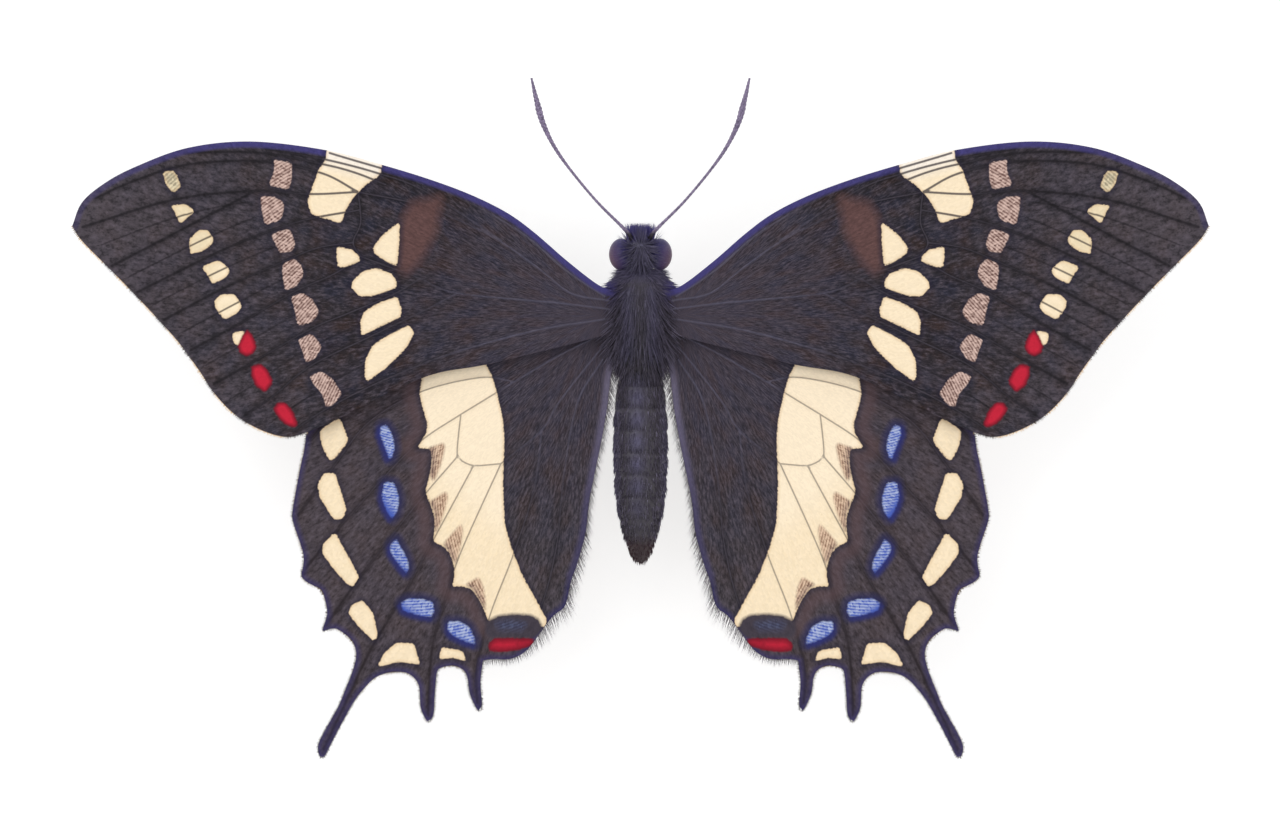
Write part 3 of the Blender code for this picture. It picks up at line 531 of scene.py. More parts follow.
def distance_to(points, *runs):
    """Distance of every point to the nearest of some runs."""
    best = np.full(len(points), FAR)
    for _, way in ways_to(points, runs):
        best = np.minimum(best, np.linalg.norm(way, axis=1))
    return best


def signed_distance_to(points, *runs):
    """Distance of every point to the nearest of some runs, negative to the right of it."""
    best = np.full(len(points), FAR)
    for course, way in ways_to(points, runs):
        side = np.where(course[0] * way[:, 1] - course[1] * way[:, 0] < 0, -1.0, 1.0)
        apart = np.linalg.norm(way, axis=1)
        best = np.where(apart < np.abs(best), side * apart, best)
    return best


def closed(loop):
    """A loop that ends where it starts."""
    return np.vstack([loop, loop[:1]])


def inside(points, loop):
    """Whether each point lies in a loop."""
    x, y = points[:, 0], points[:, 1]
    hits = np.zeros(len(points), int)
    for (ax, ay), (bx, by) in zip(loop, np.roll(loop, -1, axis=0)):
        if ay != by:
            hits += ((ay > y) != (by > y)) & (x < ax + (y - ay) / (by - ay) * (bx - ax))
    return hits % 2 == 1


def rounded(spot):
    """A closed spot with its corners cut."""
    loop = np.array(spot, float)
    ahead = np.roll(loop, -1, axis=0)
    return np.stack([(1 - CORNER) * loop + CORNER * ahead, CORNER * loop + (1 - CORNER) * ahead],
                    axis=1).reshape(-1, 2)


def depth_in(points, spots):
    """How deep each point lies in the nearest spot, negative outside."""
    depth = np.full(len(points), -SPOT_REACH)
    for spot in spots:
        loop = rounded(spot)
        near = np.all((points > loop.min(0) - SPOT_REACH) & (points < loop.max(0) + SPOT_REACH),
                      axis=1)
        chosen = points[near]
        away = distance_to(chosen, closed(loop))
        depth[near] = np.maximum(depth[near], np.where(inside(chosen, loop), away, -away))
    return depth


# Finishes

def new_finish(name, values):
    """A new material and its node tree, with some plain values of its shader set."""
    made = bpy.data.materials.new(name)
    made.use_nodes = True
    for key, value in values.items():
        made.node_tree.nodes["Principled BSDF"].inputs[key].default_value = value
    return made, made.node_tree


def surface(tree, tone, relief=None, strength=0.0, depth=0.0):
    """Give a material's shader its colour, and a bump of one depth in millimetres."""
    shader = tree.nodes["Principled BSDF"]
    tree.links.new(tone, shader.inputs["Base Color"])
    if relief is not None:
        bump = add(tree, "ShaderNodeBump", {"Strength": strength, "Distance": depth * MM,
                                            "Height": relief})
        tree.links.new(bump.outputs[0], shader.inputs["Normal"])


def graded(tree, field, start, end, first, last):
    """A factor that goes from first to last as a field goes from start to end. The field is
    one that the mesh holds under a name, or a value of the tree."""
    if isinstance(field, str):
        field = add(tree, "ShaderNodeAttribute", attribute_name=field).outputs["Fac"]
    return add(tree, "ShaderNodeMapRange", {"Value": field, "From Min": start, "From Max": end,
                                            "To Min": first, "To Max": last}).outputs[0]


def close_to(tree, field, full, none, most=1.0):
    """A factor that is at its most where a field is full, and fades out where it is none."""
    return graded(tree, field, full, none, most, 0.0)


def beyond(tree, field, none, full, most=1.0):
    """A factor that sets in where a field is none, and is at its most where it is full."""
    return graded(tree, field, none, full, 0.0, most)


def coated(tree, ground, *coats):
    """Coats of colour over a ground. Each coat is its factors, which are multiplied, and its
    colour; a colour is a hex value, a setting or a value of the tree."""
    for *factors, tone in coats:
        strength = factors[0]
        for factor in factors[1:]:
            strength = add(tree, "ShaderNodeMath", {0: strength, 1: factor},
                           operation="MULTIPLY").outputs[0]
        below, above = (linear(c) if isinstance(c, str) else c for c in (ground, tone))
        ground = add(tree, "ShaderNodeMix", {0: strength, 6: below, 7: above},
                     data_type="RGBA").outputs[2]
    return ground


def marking(tree, ground, field, ragged, soft, scales, *factors):
    """Scales of another colour over the ground inside one marking, with a ragged edge."""
    depth = add(tree, "ShaderNodeAttribute", attribute_name=field)
    torn = add(tree, "ShaderNodeMath", {0: depth.outputs["Fac"], 1: ragged}, operation="ADD")
    return coated(tree, ground, (beyond(tree, torn.outputs[0], -soft, soft), *factors, scales))


def freckled(tree, tone, drawn, darkest, lightest):
    """The same tone, a little darker or lighter from scale to scale."""
    tint = graded(tree, drawn, 0.0, 1.0, darkest, lightest)
    return add(tree, "ShaderNodeVectorMath", {0: tone, "Scale": tint},
               operation="SCALE").outputs[0]


# Wings

# Spacing of eased vein lines, of the outline and of the vein crests in the net.
LINE_STEP = 0.5
EASE_STEP, LOOP_STEP, CREST_STEP = 0.4, 0.45, 0.42
# Distance of a vein's feet from its crest, and the clear space that feet, crests and fill keep
# from the lines of the net.
VEIN_FOOT, FOOT_GAP, CREST_GAP, FILL_GAP = 0.17, 0.12, 0.15, 0.26
# Half widths of a vein, of the front edge, of the hollow beside a vein and of a fold.
VEIN_WIDTH, COSTA_WIDTH, HOLLOW_WIDTH, FOLD_WIDTH = 0.17, 0.35, 1.0, 0.45
# How veins and front edge thin out: their share at the root, what each millimetre takes off
# it, and the least share.
VEIN_TAPER, COSTA_TAPER = (1.0, 0.011, 0.35), (1.15, 0.018, 0.25)
# The share of its thickness that the skin has at its rim, and how far in it swells in full.
RIM_SHARE, RIM_REACH, SWELL_REACH = 0.30, 0.5, 1.2
# How deep a fold sinks, as a share of the swell, and the angle of a sharp edge.
FOLD_SINK, SHARP_DEGREES = 0.6, 55
# A fold's first and last share of the wing, and its points.
FOLD_START, FOLD_END, FOLD_POINTS = 0.30, 0.985, 40
# How far the ember scales and the dark rim lie off the blue lunules, root to margin.
EMBER_SHIFT, EMBER_GAP, RIM_SHIFT = -1.3, 0.25, 0.33
# A distance from the crossing veins for where none crosses.
NO_LINE = 2.0
# The middle of the hindwing's cream band, as pairs of y and x.
BAND_MIDDLE = ((-20.0, 11.5), (-10.0, 16.0), (0.0, 17.0), (5.0, 17.5))
# Stretch of the scale rows' plan, in millimetres for each radian round the root.
ROWS_PER_RADIAN = 25.0

# Real scales are about 0.1 mm wide and 0.2 mm long; drawn 0.14 by 0.26 mm so they show.
SCALES_PER_MM = (7.0, 3.8)
GRAINS_PER_MM = (3.6, 1.1)
CLOUDS_PER_MM = (0.40, 0.32)
# Slanting rows of scales, drawn 0.25 mm apart, that show in the dusted and blue spots, as the
# radians of their wave in each millimetre across and along the wing.
ROWS_ACROSS, ROWS_ALONG = 17.0, 18.0
# How far the edge of a marking wanders from scale to scale.
RAGGED = 0.035


def fore_height(x, y):
    """Height of the forewing's middle surface, level from front to back."""
    reach = x - WING_ROOT_X
    return FORE_ROOT_Z + FORE_RISE * reach - FORE_SAG * reach * reach


def hind_height(x, y):
    """Height of the hindwing's middle surface, one step lower and drooping backwards."""
    back = np.maximum(0.0, HIND_LEVEL_Y - y)
    return fore_height(x, y) - WING_STEP - HIND_DROOP * back * back


def folds_of(veins, pairs):
    """Fold lines half way between neighbouring veins, over their outer part."""
    runs = []
    for pair in pairs:
        a, b = (even(eased(veins[name], LINE_STEP), LINE_STEP) for name in pair)
        runs.append(np.array([(a[int(k * (len(a) - 1))] + b[int(k * (len(b) - 1))]) / 2
                              for k in np.linspace(FOLD_START, FOLD_END, FOLD_POINTS)]))
    return runs


def wing_points(loop, crests, grid):
    """Points of the outline, the vein crests, their feet and an even fill, with vein edges."""
    lines = [loop, *crests]
    points, edges, count = list(lines), [], len(loop)
    for crest in crests:
        edges += [(count + i, count + i + 1) for i in range(len(crest) - 1)]
        count += len(crest)
    for crest in crests:
        along = headings(crest)
        across = np.column_stack([-along[:, 1], along[:, 0]])
        for side in (-VEIN_FOOT, VEIN_FOOT):
            feet = crest + side * across
            points.append(feet[(distance_to(feet, *lines) > FOOT_GAP) & inside(feet, loop)])
    low, high = loop.min(0), loop.max(0)
    rows = []
    for k, y in enumerate(np.arange(low[1], high[1], grid * math.sqrt(0.75))):
        x = np.arange(low[0] + (k % 2) * grid / 2, high[0], grid)
        rows.append(np.column_stack([x, np.full(len(x), y)]))
    fill = np.vstack(rows)
    fill = fill[inside(fill, loop)]
    points.append(fill[distance_to(fill, *lines) > FILL_GAP])
    return np.vstack(points), edges


def wing_net(outline, veins, grid):
    """A flat net of triangles over the wing that follows every vein, and its outline."""
    loop = np.vstack([even(eased(run, EASE_STEP), LOOP_STEP)[:-1] for run in outline])
    crests = []
    for run in veins.values():
        crest = even(eased(run, EASE_STEP), CREST_STEP)
        crests.append(crest[inside(crest, loop) & (distance_to(crest, closed(loop)) > CREST_GAP)])
    points, edges = wing_points(loop, crests, grid)
    flat, _, faces, _, _, _ = delaunay_2d_cdt([Vector(p) for p in points], edges,
                                              [list(range(len(loop)))], 1, 1e-5)
    flat = np.array([tuple(p) for p in flat])
    faces = np.array([f for f in faces if len(f) == 3])
    a, b, c = (flat[faces[:, k]] for k in range(3))
    turn = (b - a)[:, 0] * (c - a)[:, 1] - (b - a)[:, 1] * (c - a)[:, 0]
    faces[turn < 0] = faces[turn < 0][:, ::-1]
    return flat, faces, loop


def rim_of(faces):
    """The directed edges of the net that only one triangle uses."""
    seen = {(face[k], face[(k + 1) % 3]): True for face in faces for k in range(3)}
    return [(a, b) for a, b in seen if (b, a) not in seen]


def shifted(spots, outwards_by):
    """The same spots moved away from the wing's root, or towards it where negative."""
    moved = []
    for spot in spots:
        away = np.mean(spot, axis=0) - ROOT
        moved.append(np.array(spot) + outwards_by * away / np.linalg.norm(away))
    return moved


def outward_of_middle(flat, spots):
    """How far each point lies outwards of the middle of the nearest spot."""
    middles = np.array([np.mean(spot, axis=0) for spot in spots])
    nearest = np.argmin(np.linalg.norm(flat[:, None] - middles, axis=2), axis=1)
    away = middles - ROOT
    away /= np.linalg.norm(away, axis=1)[:, None]
    return ((flat - middles[nearest]) * away[nearest]).sum(1)


def wing_fields(flat, loop, outline, veins, folds, marks):
    """What the shape and the scales of a wing read at each point, in millimetres: how far it
    is from vein, crease, edges and root, and how deep it lies in each marking."""
    x, y = flat.T
    crests = {name: eased(run, LINE_STEP) for name, run in veins.items()}
    fields = {
        "vein": distance_to(flat, *crests.values()),
        "crease": signed_distance_to(flat, *folds_of(veins, folds)),
        "edge": distance_to(flat, closed(loop)),
        "lead": distance_to(flat, eased(outline[0], LINE_STEP)),
        # The inner margin ends in front of the tail.
        "inner": distance_to(flat, eased(outline[-1], LINE_STEP)) + np.clip((-15 - y) / 2, 0, 9),
        "away": np.linalg.norm(flat - ROOT, axis=1)}
    for mark, spots in marks.items():
        fields[mark] = depth_in(flat, spots) + SPREAD.get(mark, 0.0)
    if "blue" in marks:
        fields["ember"] = np.minimum(depth_in(flat, shifted(marks["blue"], EMBER_SHIFT)),
                                     -fields["blue"] - EMBER_GAP)
        fields["blue_rim"] = (depth_in(flat, shifted(marks["blue"], RIM_SHIFT))
                              + SPREAD["blue_rim"])
        fields["blue_out"] = outward_of_middle(flat, marks["blue"])
        beside = depth_in(flat, marks["cream"][:1])
        fields["lobes"] = hump(beside, -0.9, 0.8) * (x > profile(y, BAND_MIDDLE))
    crossing = distance_to(flat, *(run for name, run in crests.items() if name != "anal"))
    in_band = depth_in(flat, marks["cream"][:LINED_SPOTS]) > -0.3
    fields["line"] = np.where(in_band, crossing, NO_LINE)
    return fields


def tapered(away, start, loss, least):
    """A share that thins out with the distance from the root."""
    return np.clip(start - loss * away, least, 1.0)


def wing_mesh(name, outline, veins, folds, marks, height, settings):
    """Both faces of a wing as one closed skin, with its fields stored in its points."""
    flat, faces, loop = wing_net(outline, veins, settings.grid / MM)
    fields = wing_fields(flat, loop, outline, veins, folds, marks)
    x, y = flat.T
    vein, edge, away = (fields[field] for field in ("vein", "edge", "away"))
    membrane, thick = settings.membrane / MM, settings.vein / MM
    ridge = hump(vein, 0, VEIN_WIDTH) * tapered(away, *VEIN_TAPER)
    front = hump(fields["lead"], 0, COSTA_WIDTH) * tapered(away, *COSTA_TAPER)
    bodily = membrane + (thick - membrane) * np.maximum(ridge, front)
    bodily *= np.clip(RIM_SHARE + edge / RIM_REACH, RIM_SHARE, 1.0)
    swell = settings.swell / MM * (1 - hump(vein, 0, HOLLOW_WIDTH)) * rise(edge, 0, SWELL_REACH)
    swell -= FOLD_SINK * settings.swell / MM * hump(fields["crease"], 0, FOLD_WIDTH)
    middle = height(x, y) + swell
    top = np.column_stack([x, y, middle + bodily / 2])
    under = np.column_stack([x, y, middle - bodily / 2])
    count = len(flat)
    skin = faces.tolist() + (faces[:, ::-1] + count).tolist()
    for a, b in rim_of(faces.tolist()):
        skin += [(b, a, a + count), (b, a + count, b + count)]
    mesh = mesh_from(name, np.vstack([top, under]), skin)
    mesh.set_sharp_from_angle(angle=math.radians(SHARP_DEGREES))
    for field, values in fields.items():
        give(mesh, field, np.tile(values, 2))
    give(mesh, "under", np.repeat((0.0, 1.0), count))
    angle = np.arctan2(y - ROOT[1], x - ROOT[0])
    rows = np.column_stack([angle * ROWS_PER_RADIAN, away])
    corners = np.zeros(len(mesh.loops), np.int32)
    mesh.loops.foreach_get("vertex_index", corners)
    layer = mesh.uv_layers.new(name="scale_rows")
    layer.data.foreach_set("uv", np.tile(rows, (2, 1))[corners].astype(np.float32).ravel())
    return mesh


def scale_pattern(tree):
    """What all colours of a wing share: its single scales, grain, clouds, slanting rows,
    creases and relief."""
    plan = add(tree, "ShaderNodeUVMap", uv_map="scale_rows").outputs[0]
    tile, streak, patch = (
        add(tree, "ShaderNodeMapping", {"Vector": plan, "Scale": (*counts, 1.0)}).outputs[0]
        for counts in (SCALES_PER_MM, GRAINS_PER_MM, CLOUDS_PER_MM))
    cells = add(tree, "ShaderNodeTexVoronoi", {"Vector": tile, "Scale": 1.0},
                voronoi_dimensions="2D").outputs
    drawn = add(tree, "ShaderNodeSeparateColor", {0: cells["Color"]}).outputs
    grain = add(tree, "ShaderNodeTexNoise", {"Vector": streak, "Scale": 1.0, "Detail": 6.0,
                                             "Roughness": 0.75},
                noise_dimensions="2D").outputs[0]
    cloud = add(tree, "ShaderNodeTexNoise", {"Vector": patch, "Scale": 1.0, "Detail": 4.0},
                noise_dimensions="2D").outputs["Color"]
    at = add(tree, "ShaderNodeSeparateXYZ", {0: plan}).outputs
    across = add(tree, "ShaderNodeMath", {0: at[0], 1: ROWS_ACROSS},
                 operation="MULTIPLY").outputs[0]
    slanting = []
    for slant, loose, low, high in ((ROWS_ALONG, 2.6, -0.3, 2.7),
                                    (-ROWS_ALONG, 2.4, -0.2, 2.5)):
        phase = add(tree, "ShaderNodeMath", {0: at[1], 1: slant, 2: across},
                    operation="MULTIPLY_ADD")
        wave = add(tree, "ShaderNodeMath", {0: phase.outputs[0]}, operation="SINE")
        broken = add(tree, "ShaderNodeMath", {0: drawn[1], 1: loose, 2: wave.outputs[0]},
                     operation="MULTIPLY_ADD")
        slanting.append(beyond(tree, broken.outputs[0], low, high))
    crease = add(tree, "ShaderNodeAttribute", attribute_name="crease").outputs["Fac"]
    fold = add(tree, "ShaderNodeMath", {0: crease}, operation="ABSOLUTE").outputs[0]
    relief = add(tree, "ShaderNodeMath", {0: cells["Distance"], 1: grain}, operation="ADD")
    return SimpleNamespace(
        drawn=drawn, grain=grain, relief=relief.outputs[0], row=slanting[0], fleck=slanting[1],
        clouds=add(tree, "ShaderNodeSeparateColor", {0: cloud}).outputs,
        folded=close_to(tree, fold, 0.03, 0.14, 0.55),
        ragged=graded(tree, drawn[0], 0.0, 1.0, -RAGGED, RAGGED),
        under=add(tree, "ShaderNodeAttribute", attribute_name="under").outputs["Fac"])


def dark_scales(tree, settings, pattern, fore):
    """The ground between the markings: clouded, paler near the body and the margins, with a painted
    sheen on the vein crests, bluish near the body, and dark furrows along the veins further out."""
    far = beyond(tree, "away", 14.0, 24.0)
    worn = (24.0, 50.0, 0.78) if fore else (8.0, 30.0, 0.58)
    darkest = "#151217"
    ground = coated(
        tree, settings.ground,
        (beyond(tree, pattern.clouds[0], 0.42, 0.68, 0.60), "#443E48"),
        (beyond(tree, pattern.clouds[1], 0.42, 0.68, 0.72), "#38261F"),
        (beyond(tree, pattern.clouds[2], 0.42, 0.68, 0.60), "#1E2438"),
        (beyond(tree, "away", *worn), "#50494F"),
        (close_to(tree, "away", 2.0, 22.0, 0.45), "#4F4857"),
        (beyond(tree, pattern.grain, 0.50, 0.68, 0.62), "#5F5660"),
        (beyond(tree, pattern.grain, 0.50, 0.33, 0.70), darkest),
        # Painted sheen: a bluish light line on the vein crests near the body.
        (close_to(tree, "away", 8.0, 22.0, 0.38), close_to(tree, "vein", 0.02, 0.14), "#6A687C"),
        (close_to(tree, "vein", 0.10, 0.60, 0.40), far, darkest),
        (close_to(tree, "vein", 0.04, 0.19, 0.70), far, darkest),
        (pattern.folded, 1.0 if fore else 0.25, far, darkest),
        # Painted sheen: a faint light line on the vein crests further out.
        (close_to(tree, "vein", 0.02, 0.10, 0.40), close_to(tree, "away", 22.0, 36.0), far,
         "#625B68"))
    if fore:
        brown = coated(tree, "#3F2B2B", (pattern.grain, "#70514F"))
        ground = marking(tree, ground, "brown", pattern.ragged, 0.60, brown)
        ground = coated(tree, ground, (close_to(tree, "lead", 0.40, 0.70, 0.9),
                                       close_to(tree, "away", 40.0, 56.0), settings.costa))
    else:
        # The teeth and the tail are bluer than the rest, and the inner margin is grey-violet.
        strip = coated(tree, "#726B7E", (beyond(tree, "away", 6.0, 20.0), "#45405C"))
        ground = coated(tree, ground, (close_to(tree, "edge", 0.05, 0.65, 0.76), "#322F60"),
                        (close_to(tree, "inner", 0.30, 0.85, 0.75), strip))
    ground = coated(tree, ground, (pattern.under, 0.35, "#6A564C"))
    return freckled(tree, ground, pattern.drawn[2], 0.84, 1.12)


def surrounds(tree, ground, settings, pattern, fore):
    """The ground made darker and faintly violet round every spot, and navy round the blue."""
    if not fore:
        # The dark lobes that bite into the cream band are browner than the rest.
        ground = coated(tree, ground, (beyond(tree, "lobes", 0.0, 1.0, 0.55), "#5C474A"))
    ground = coated(tree, ground, (beyond(tree, "cream", -0.55, -0.05, 0.55), "#1D1A2E"))
    if fore:
        return coated(tree, ground, (beyond(tree, "rosy", -0.45, -0.05, 0.45), "#1D1A2E"))
    ground = coated(tree, ground, (beyond(tree, "blue", -0.85, -0.15, 0.85), settings.navy))
    ground = marking(tree, ground, "blue_rim", pattern.ragged, 0.28, "#282C6A")
    return marking(tree, ground, "ember", pattern.ragged, 0.15, "#A85A3A", pattern.under)


def cream_scales(tree, settings, pattern, fore):
    """The colour of the cream markings, lined with warm scales along their edges."""
    paler = "#F0DCB9" if fore else coated(tree, "#F4E3C7",
                                          (beyond(tree, "away", 21.0, 24.0), "#EDD7B1"))
    cream = coated(tree, settings.cream, (pattern.grain, paler))
    if fore:
        # The outer row is duller, and its first spot is dusted over.
        outer = beyond(tree, "away", 36.0, 38.0, 0.40)
        dust = coated(tree, "#8E8570", (pattern.row, "#DCCFAE"))
        cream = coated(tree, cream, (close_to(tree, "lead", 0.6, 2.2, 0.65), "#F7F1EC"),
                       (outer, "#D2C199"),
                       (outer, 2.2, close_to(tree, "lead", 4.3, 4.8), dust))
    return coated(tree, cream, (beyond(tree, "cream", 0.30, 0.03, 0.45), "#D3B083"))


def small_markings(tree, ground, settings, pattern, fore):
    """The rosy, red and blue spots, and what crosses or tips the cream ones."""
    ragged = pattern.ragged
    if fore:
        ground = coated(tree, ground, (
            beyond(tree, "away", 30.0, 32.0, 1.6), beyond(tree, "cream", -0.03, 0.03),
            pattern.folded, "#4A423C"))
        rosy = coated(tree, "#6C504A", (pattern.row, settings.rosy))
        ground = marking(tree, ground, "rosy", ragged, 0.06, rosy)
    else:
        bar = coated(tree, "#2A2630", (pattern.grain, "#4E4650"))
        ground = marking(tree, ground, "bar", ragged, 0.18, bar)
        core = coated(tree, "#35364E", (pattern.fleck, "#4E546F"))
        ground = marking(tree, ground, "bar_core", ragged, 0.45, core)
        # The tips of the dark lobes are dusted, and darkest against the lobes.
        rooted = coated(tree, "#866350", (beyond(tree, "cream", 0.75, 0.05), "#4A363C"))
        dust = coated(tree, "#DABCA1", (beyond(tree, "cream", 0.6, 0.0, 0.7), "#82625B"))
        ground = coated(tree, ground, (
            beyond(tree, "tips", -0.15, 0.15, 0.95), beyond(tree, "cream", -0.10, 0.02),
            coated(tree, rooted, (pattern.row, dust))))
    ripe = beyond(tree, "red", 0.40 if fore else 0.75, 0.04, 0.90)
    red = coated(tree, settings.red, (ripe, "#620D20"))
    ground = marking(tree, ground, "red", ragged, 0.09, red)
    if fore:
        return ground
    blue = coated(tree, settings.blue, (pattern.fleck, beyond(tree, "blue_out", 0.95, 0.20),
                                        "#A9B4D4"))
    return marking(tree, ground, "blue", ragged, 0.10, blue)


def wing_scales(name, settings, fore):
    """Chitin scales laid in rows like tiles: a dry, matt surface that sparkles very slightly,
    grain running out from the root, and marking edges that are ragged by one scale."""
    made, tree = new_finish(name, {"Roughness": 0.7, "Specular IOR Level": 0.14})
    pattern = scale_pattern(tree)
    ground = dark_scales(tree, settings, pattern, fore)
    ground = surrounds(tree, ground, settings, pattern, fore)
    cream = cream_scales(tree, settings, pattern, fore)
    ground = marking(tree, ground, "cream", pattern.ragged, 0.05, cream)
    ground = small_markings(tree, ground, settings, pattern, fore)
    # Veins show as thin dark lines where they cross pale scales.
    line = (0.06, 0.15, 0.88) if fore else (0.03, 0.11, 0.62)
    ground = coated(tree, ground, (close_to(tree, "line", *line), "#39333A"))
    surface(tree, freckled(tree, ground, pattern.drawn[0], 0.94, 1.03), pattern.relief, 0.2, 0.04)
    return made


class BUTTERFLY_OT_forewings(bpy.types.Operator):
    """Make both forewings with their veins and markings"""
    bl_idname = "butterfly.forewings"
    bl_label = "Forewings"

    def execute(self, context):
        settings = context.scene.butterfly_wings
        mesh = wing_mesh("forewing", (FORE_COSTA, FORE_OUTER, FORE_INNER), FORE_VEINS,
                         FORE_FOLDS, FORE_MARKS, fore_height, settings)
        finish = wing_scales("forewing_scales", settings, True)
        both_sides("scaled_forewing", mesh, finish, "wing", "forewing")
        return {"FINISHED"}


class BUTTERFLY_OT_hindwings(bpy.types.Operator):
    """Make both hindwings with their tails, veins and markings"""
    bl_idname = "butterfly.hindwings"
    bl_label = "Hindwings"

    def execute(self, context):
        settings = context.scene.butterfly_wings
        mesh = wing_mesh("hindwing", (HIND_COSTA, HIND_OUTER, HIND_TAILS, HIND_INNER), HIND_VEINS,
                         HIND_FOLDS, HIND_MARKS, hind_height, settings)
        finish = wing_scales("hindwing_scales", settings, False)
        both_sides("scaled_hindwing", mesh, finish, "wing", "hindwing")
        return {"FINISHED"}


# Hair: one tree for coats on a skin and one for hair along a line

# How much of the skin's plan the patch of one hair takes, the edge that the plan keeps free,
# and the inputs of both trees.
PATCH, PLAN_EDGE = 0.003, 0.02
HAIR_SIZES = (("Density", "Float"), ("Thickness", "Float"), ("Stray", "Float"),
              ("Curl", "Float"), ("Patch", "Float"), ("Seed", "Int"), ("Material", "Material"))


def blade(tree, curl):
    """A three-sided tapering hair of length and thickness one, curling towards -X."""
    cone = add(tree, "GeometryNodeMeshCone", {
        "Vertices": 3, "Side Segments": 3, "Radius Top": 0.0, "Radius Bottom": 1.0,
        "Depth": 1.0}, fill_type="NGON")
    at = add(tree, "GeometryNodeInputPosition")
    parts = add(tree, "ShaderNodeSeparateXYZ", {0: at.outputs[0]}).outputs
    square = add(tree, "ShaderNodeMath", {0: parts[2], 1: parts[2]}, operation="MULTIPLY")
    fall = add(tree, "ShaderNodeMath", {0: square.outputs[0], 1: curl}, operation="MULTIPLY")
    offset = add(tree, "ShaderNodeCombineXYZ", {0: fall.outputs[0]})
    bent = add(tree, "GeometryNodeSetPosition", {0: cone.outputs[0], "Offset": offset.outputs[0]})
    local = add(tree, "ShaderNodeCombineXYZ", {0: parts[0], 1: parts[2]})
    kept = add(tree, "GeometryNodeStoreNamedAttribute", {
        0: bent.outputs[0], "Name": "blade_place", "Value": local.outputs[0]},
        data_type="FLOAT_VECTOR", domain="POINT")
    return kept.outputs[0]


def open_tree(name, sizes):
    """A geometry tree with named inputs for its sizes."""
    tree = bpy.data.node_groups.new(name, "GeometryNodeTree")
    tree.interface.new_socket("Geometry", in_out="INPUT", socket_type="NodeSocketGeometry")
    tree.interface.new_socket("Geometry", in_out="OUTPUT", socket_type="NodeSocketGeometry")
    for socket, kind in sizes:
        tree.interface.new_socket(socket, in_out="INPUT", socket_type="NodeSocket" + kind)
    return tree, tree.nodes.new("NodeGroupInput").outputs


def plant(tree, given, points, facing):
    """Stand one hair on every point, leaning from the facing direction towards its lie."""
    lie, root, local = (add(tree, "GeometryNodeInputNamedAttribute", {"Name": name},
                            data_type="FLOAT_VECTOR").outputs[0]
                        for name in ("lie", "skin_plan", "blade_place"))
    stand, grown = (add(tree, "GeometryNodeInputNamedAttribute", {"Name": name},
                        data_type="FLOAT").outputs[0] for name in ("stand", "hair_length"))
    stray = add(tree, "FunctionNodeRandomValue", {
        0: (-1.0, -1.0, -1.0), 1: (1.0, 1.0, 1.0), "Seed": given["Seed"]},
        data_type="FLOAT_VECTOR")
    strays = add(tree, "ShaderNodeVectorMath", {0: stray.outputs[0], "Scale": given["Stray"]},
                 operation="SCALE")
    lifted = add(tree, "ShaderNodeVectorMath", {0: facing, "Scale": stand}, operation="SCALE")
    leaning = add(tree, "ShaderNodeVectorMath", {0: lie, 1: lifted.outputs[0]},
                  operation="ADD")
    aim = add(tree, "ShaderNodeVectorMath", {0: leaning.outputs[0], 1: strays.outputs[0]},
              operation="ADD")
    along = add(tree, "FunctionNodeAlignRotationToVector", {"Vector": aim.outputs[0]}, axis="Z")
    turned = add(tree, "FunctionNodeAlignRotationToVector", {
        "Rotation": along.outputs[0], "Vector": facing}, axis="X", pivot_axis="Z")
    spread = add(tree, "FunctionNodeRandomValue", {"Min": 0.6, "Max": 1.15,
                                                   "Seed": given["Seed"]}, data_type="FLOAT")
    tall = add(tree, "ShaderNodeMath", {0: grown, 1: spread.outputs["Value"]},
               operation="MULTIPLY")
    size = add(tree, "ShaderNodeCombineXYZ", {0: given["Thickness"], 1: given["Thickness"],
                                              2: tall.outputs[0]})
    index = add(tree, "GeometryNodeInputIndex")
    shade = add(tree, "FunctionNodeRandomValue", {
        "Min": 0.0, "Max": 1.0, "ID": index.outputs[0], "Seed": given["Seed"]},
        data_type="FLOAT")
    marked = add(tree, "GeometryNodeStoreNamedAttribute", {
        0: points, "Name": "tuft_shade", "Value": shade.outputs["Value"]},
        data_type="FLOAT", domain="POINT")
    stood = add(tree, "GeometryNodeInstanceOnPoints", {
        "Points": marked.outputs[0], "Instance": blade(tree, given["Curl"]),
        "Rotation": turned.outputs[0], "Scale": size.outputs[0]})
    real = add(tree, "GeometryNodeRealizeInstances", {0: stood.outputs[0]})
    patch = add(tree, "ShaderNodeVectorMath", {0: local, "Scale": given["Patch"]},
                operation="SCALE")
    plan = add(tree, "ShaderNodeVectorMath", {0: root, 1: patch.outputs[0]}, operation="ADD")
    mapped = add(tree, "GeometryNodeStoreNamedAttribute", {
        0: real.outputs[0], "Name": "OFBake", "Value": plan.outputs[0]},
        data_type="FLOAT2", domain="CORNER")
    dyed = add(tree, "GeometryNodeSetMaterial", {0: mapped.outputs[0],
                                                 "Material": given["Material"]})
    smooth = add(tree, "GeometryNodeSetShadeSmooth", {0: dyed.outputs[0]})
    add(tree, "NodeGroupOutput", {0: smooth.outputs[0]})


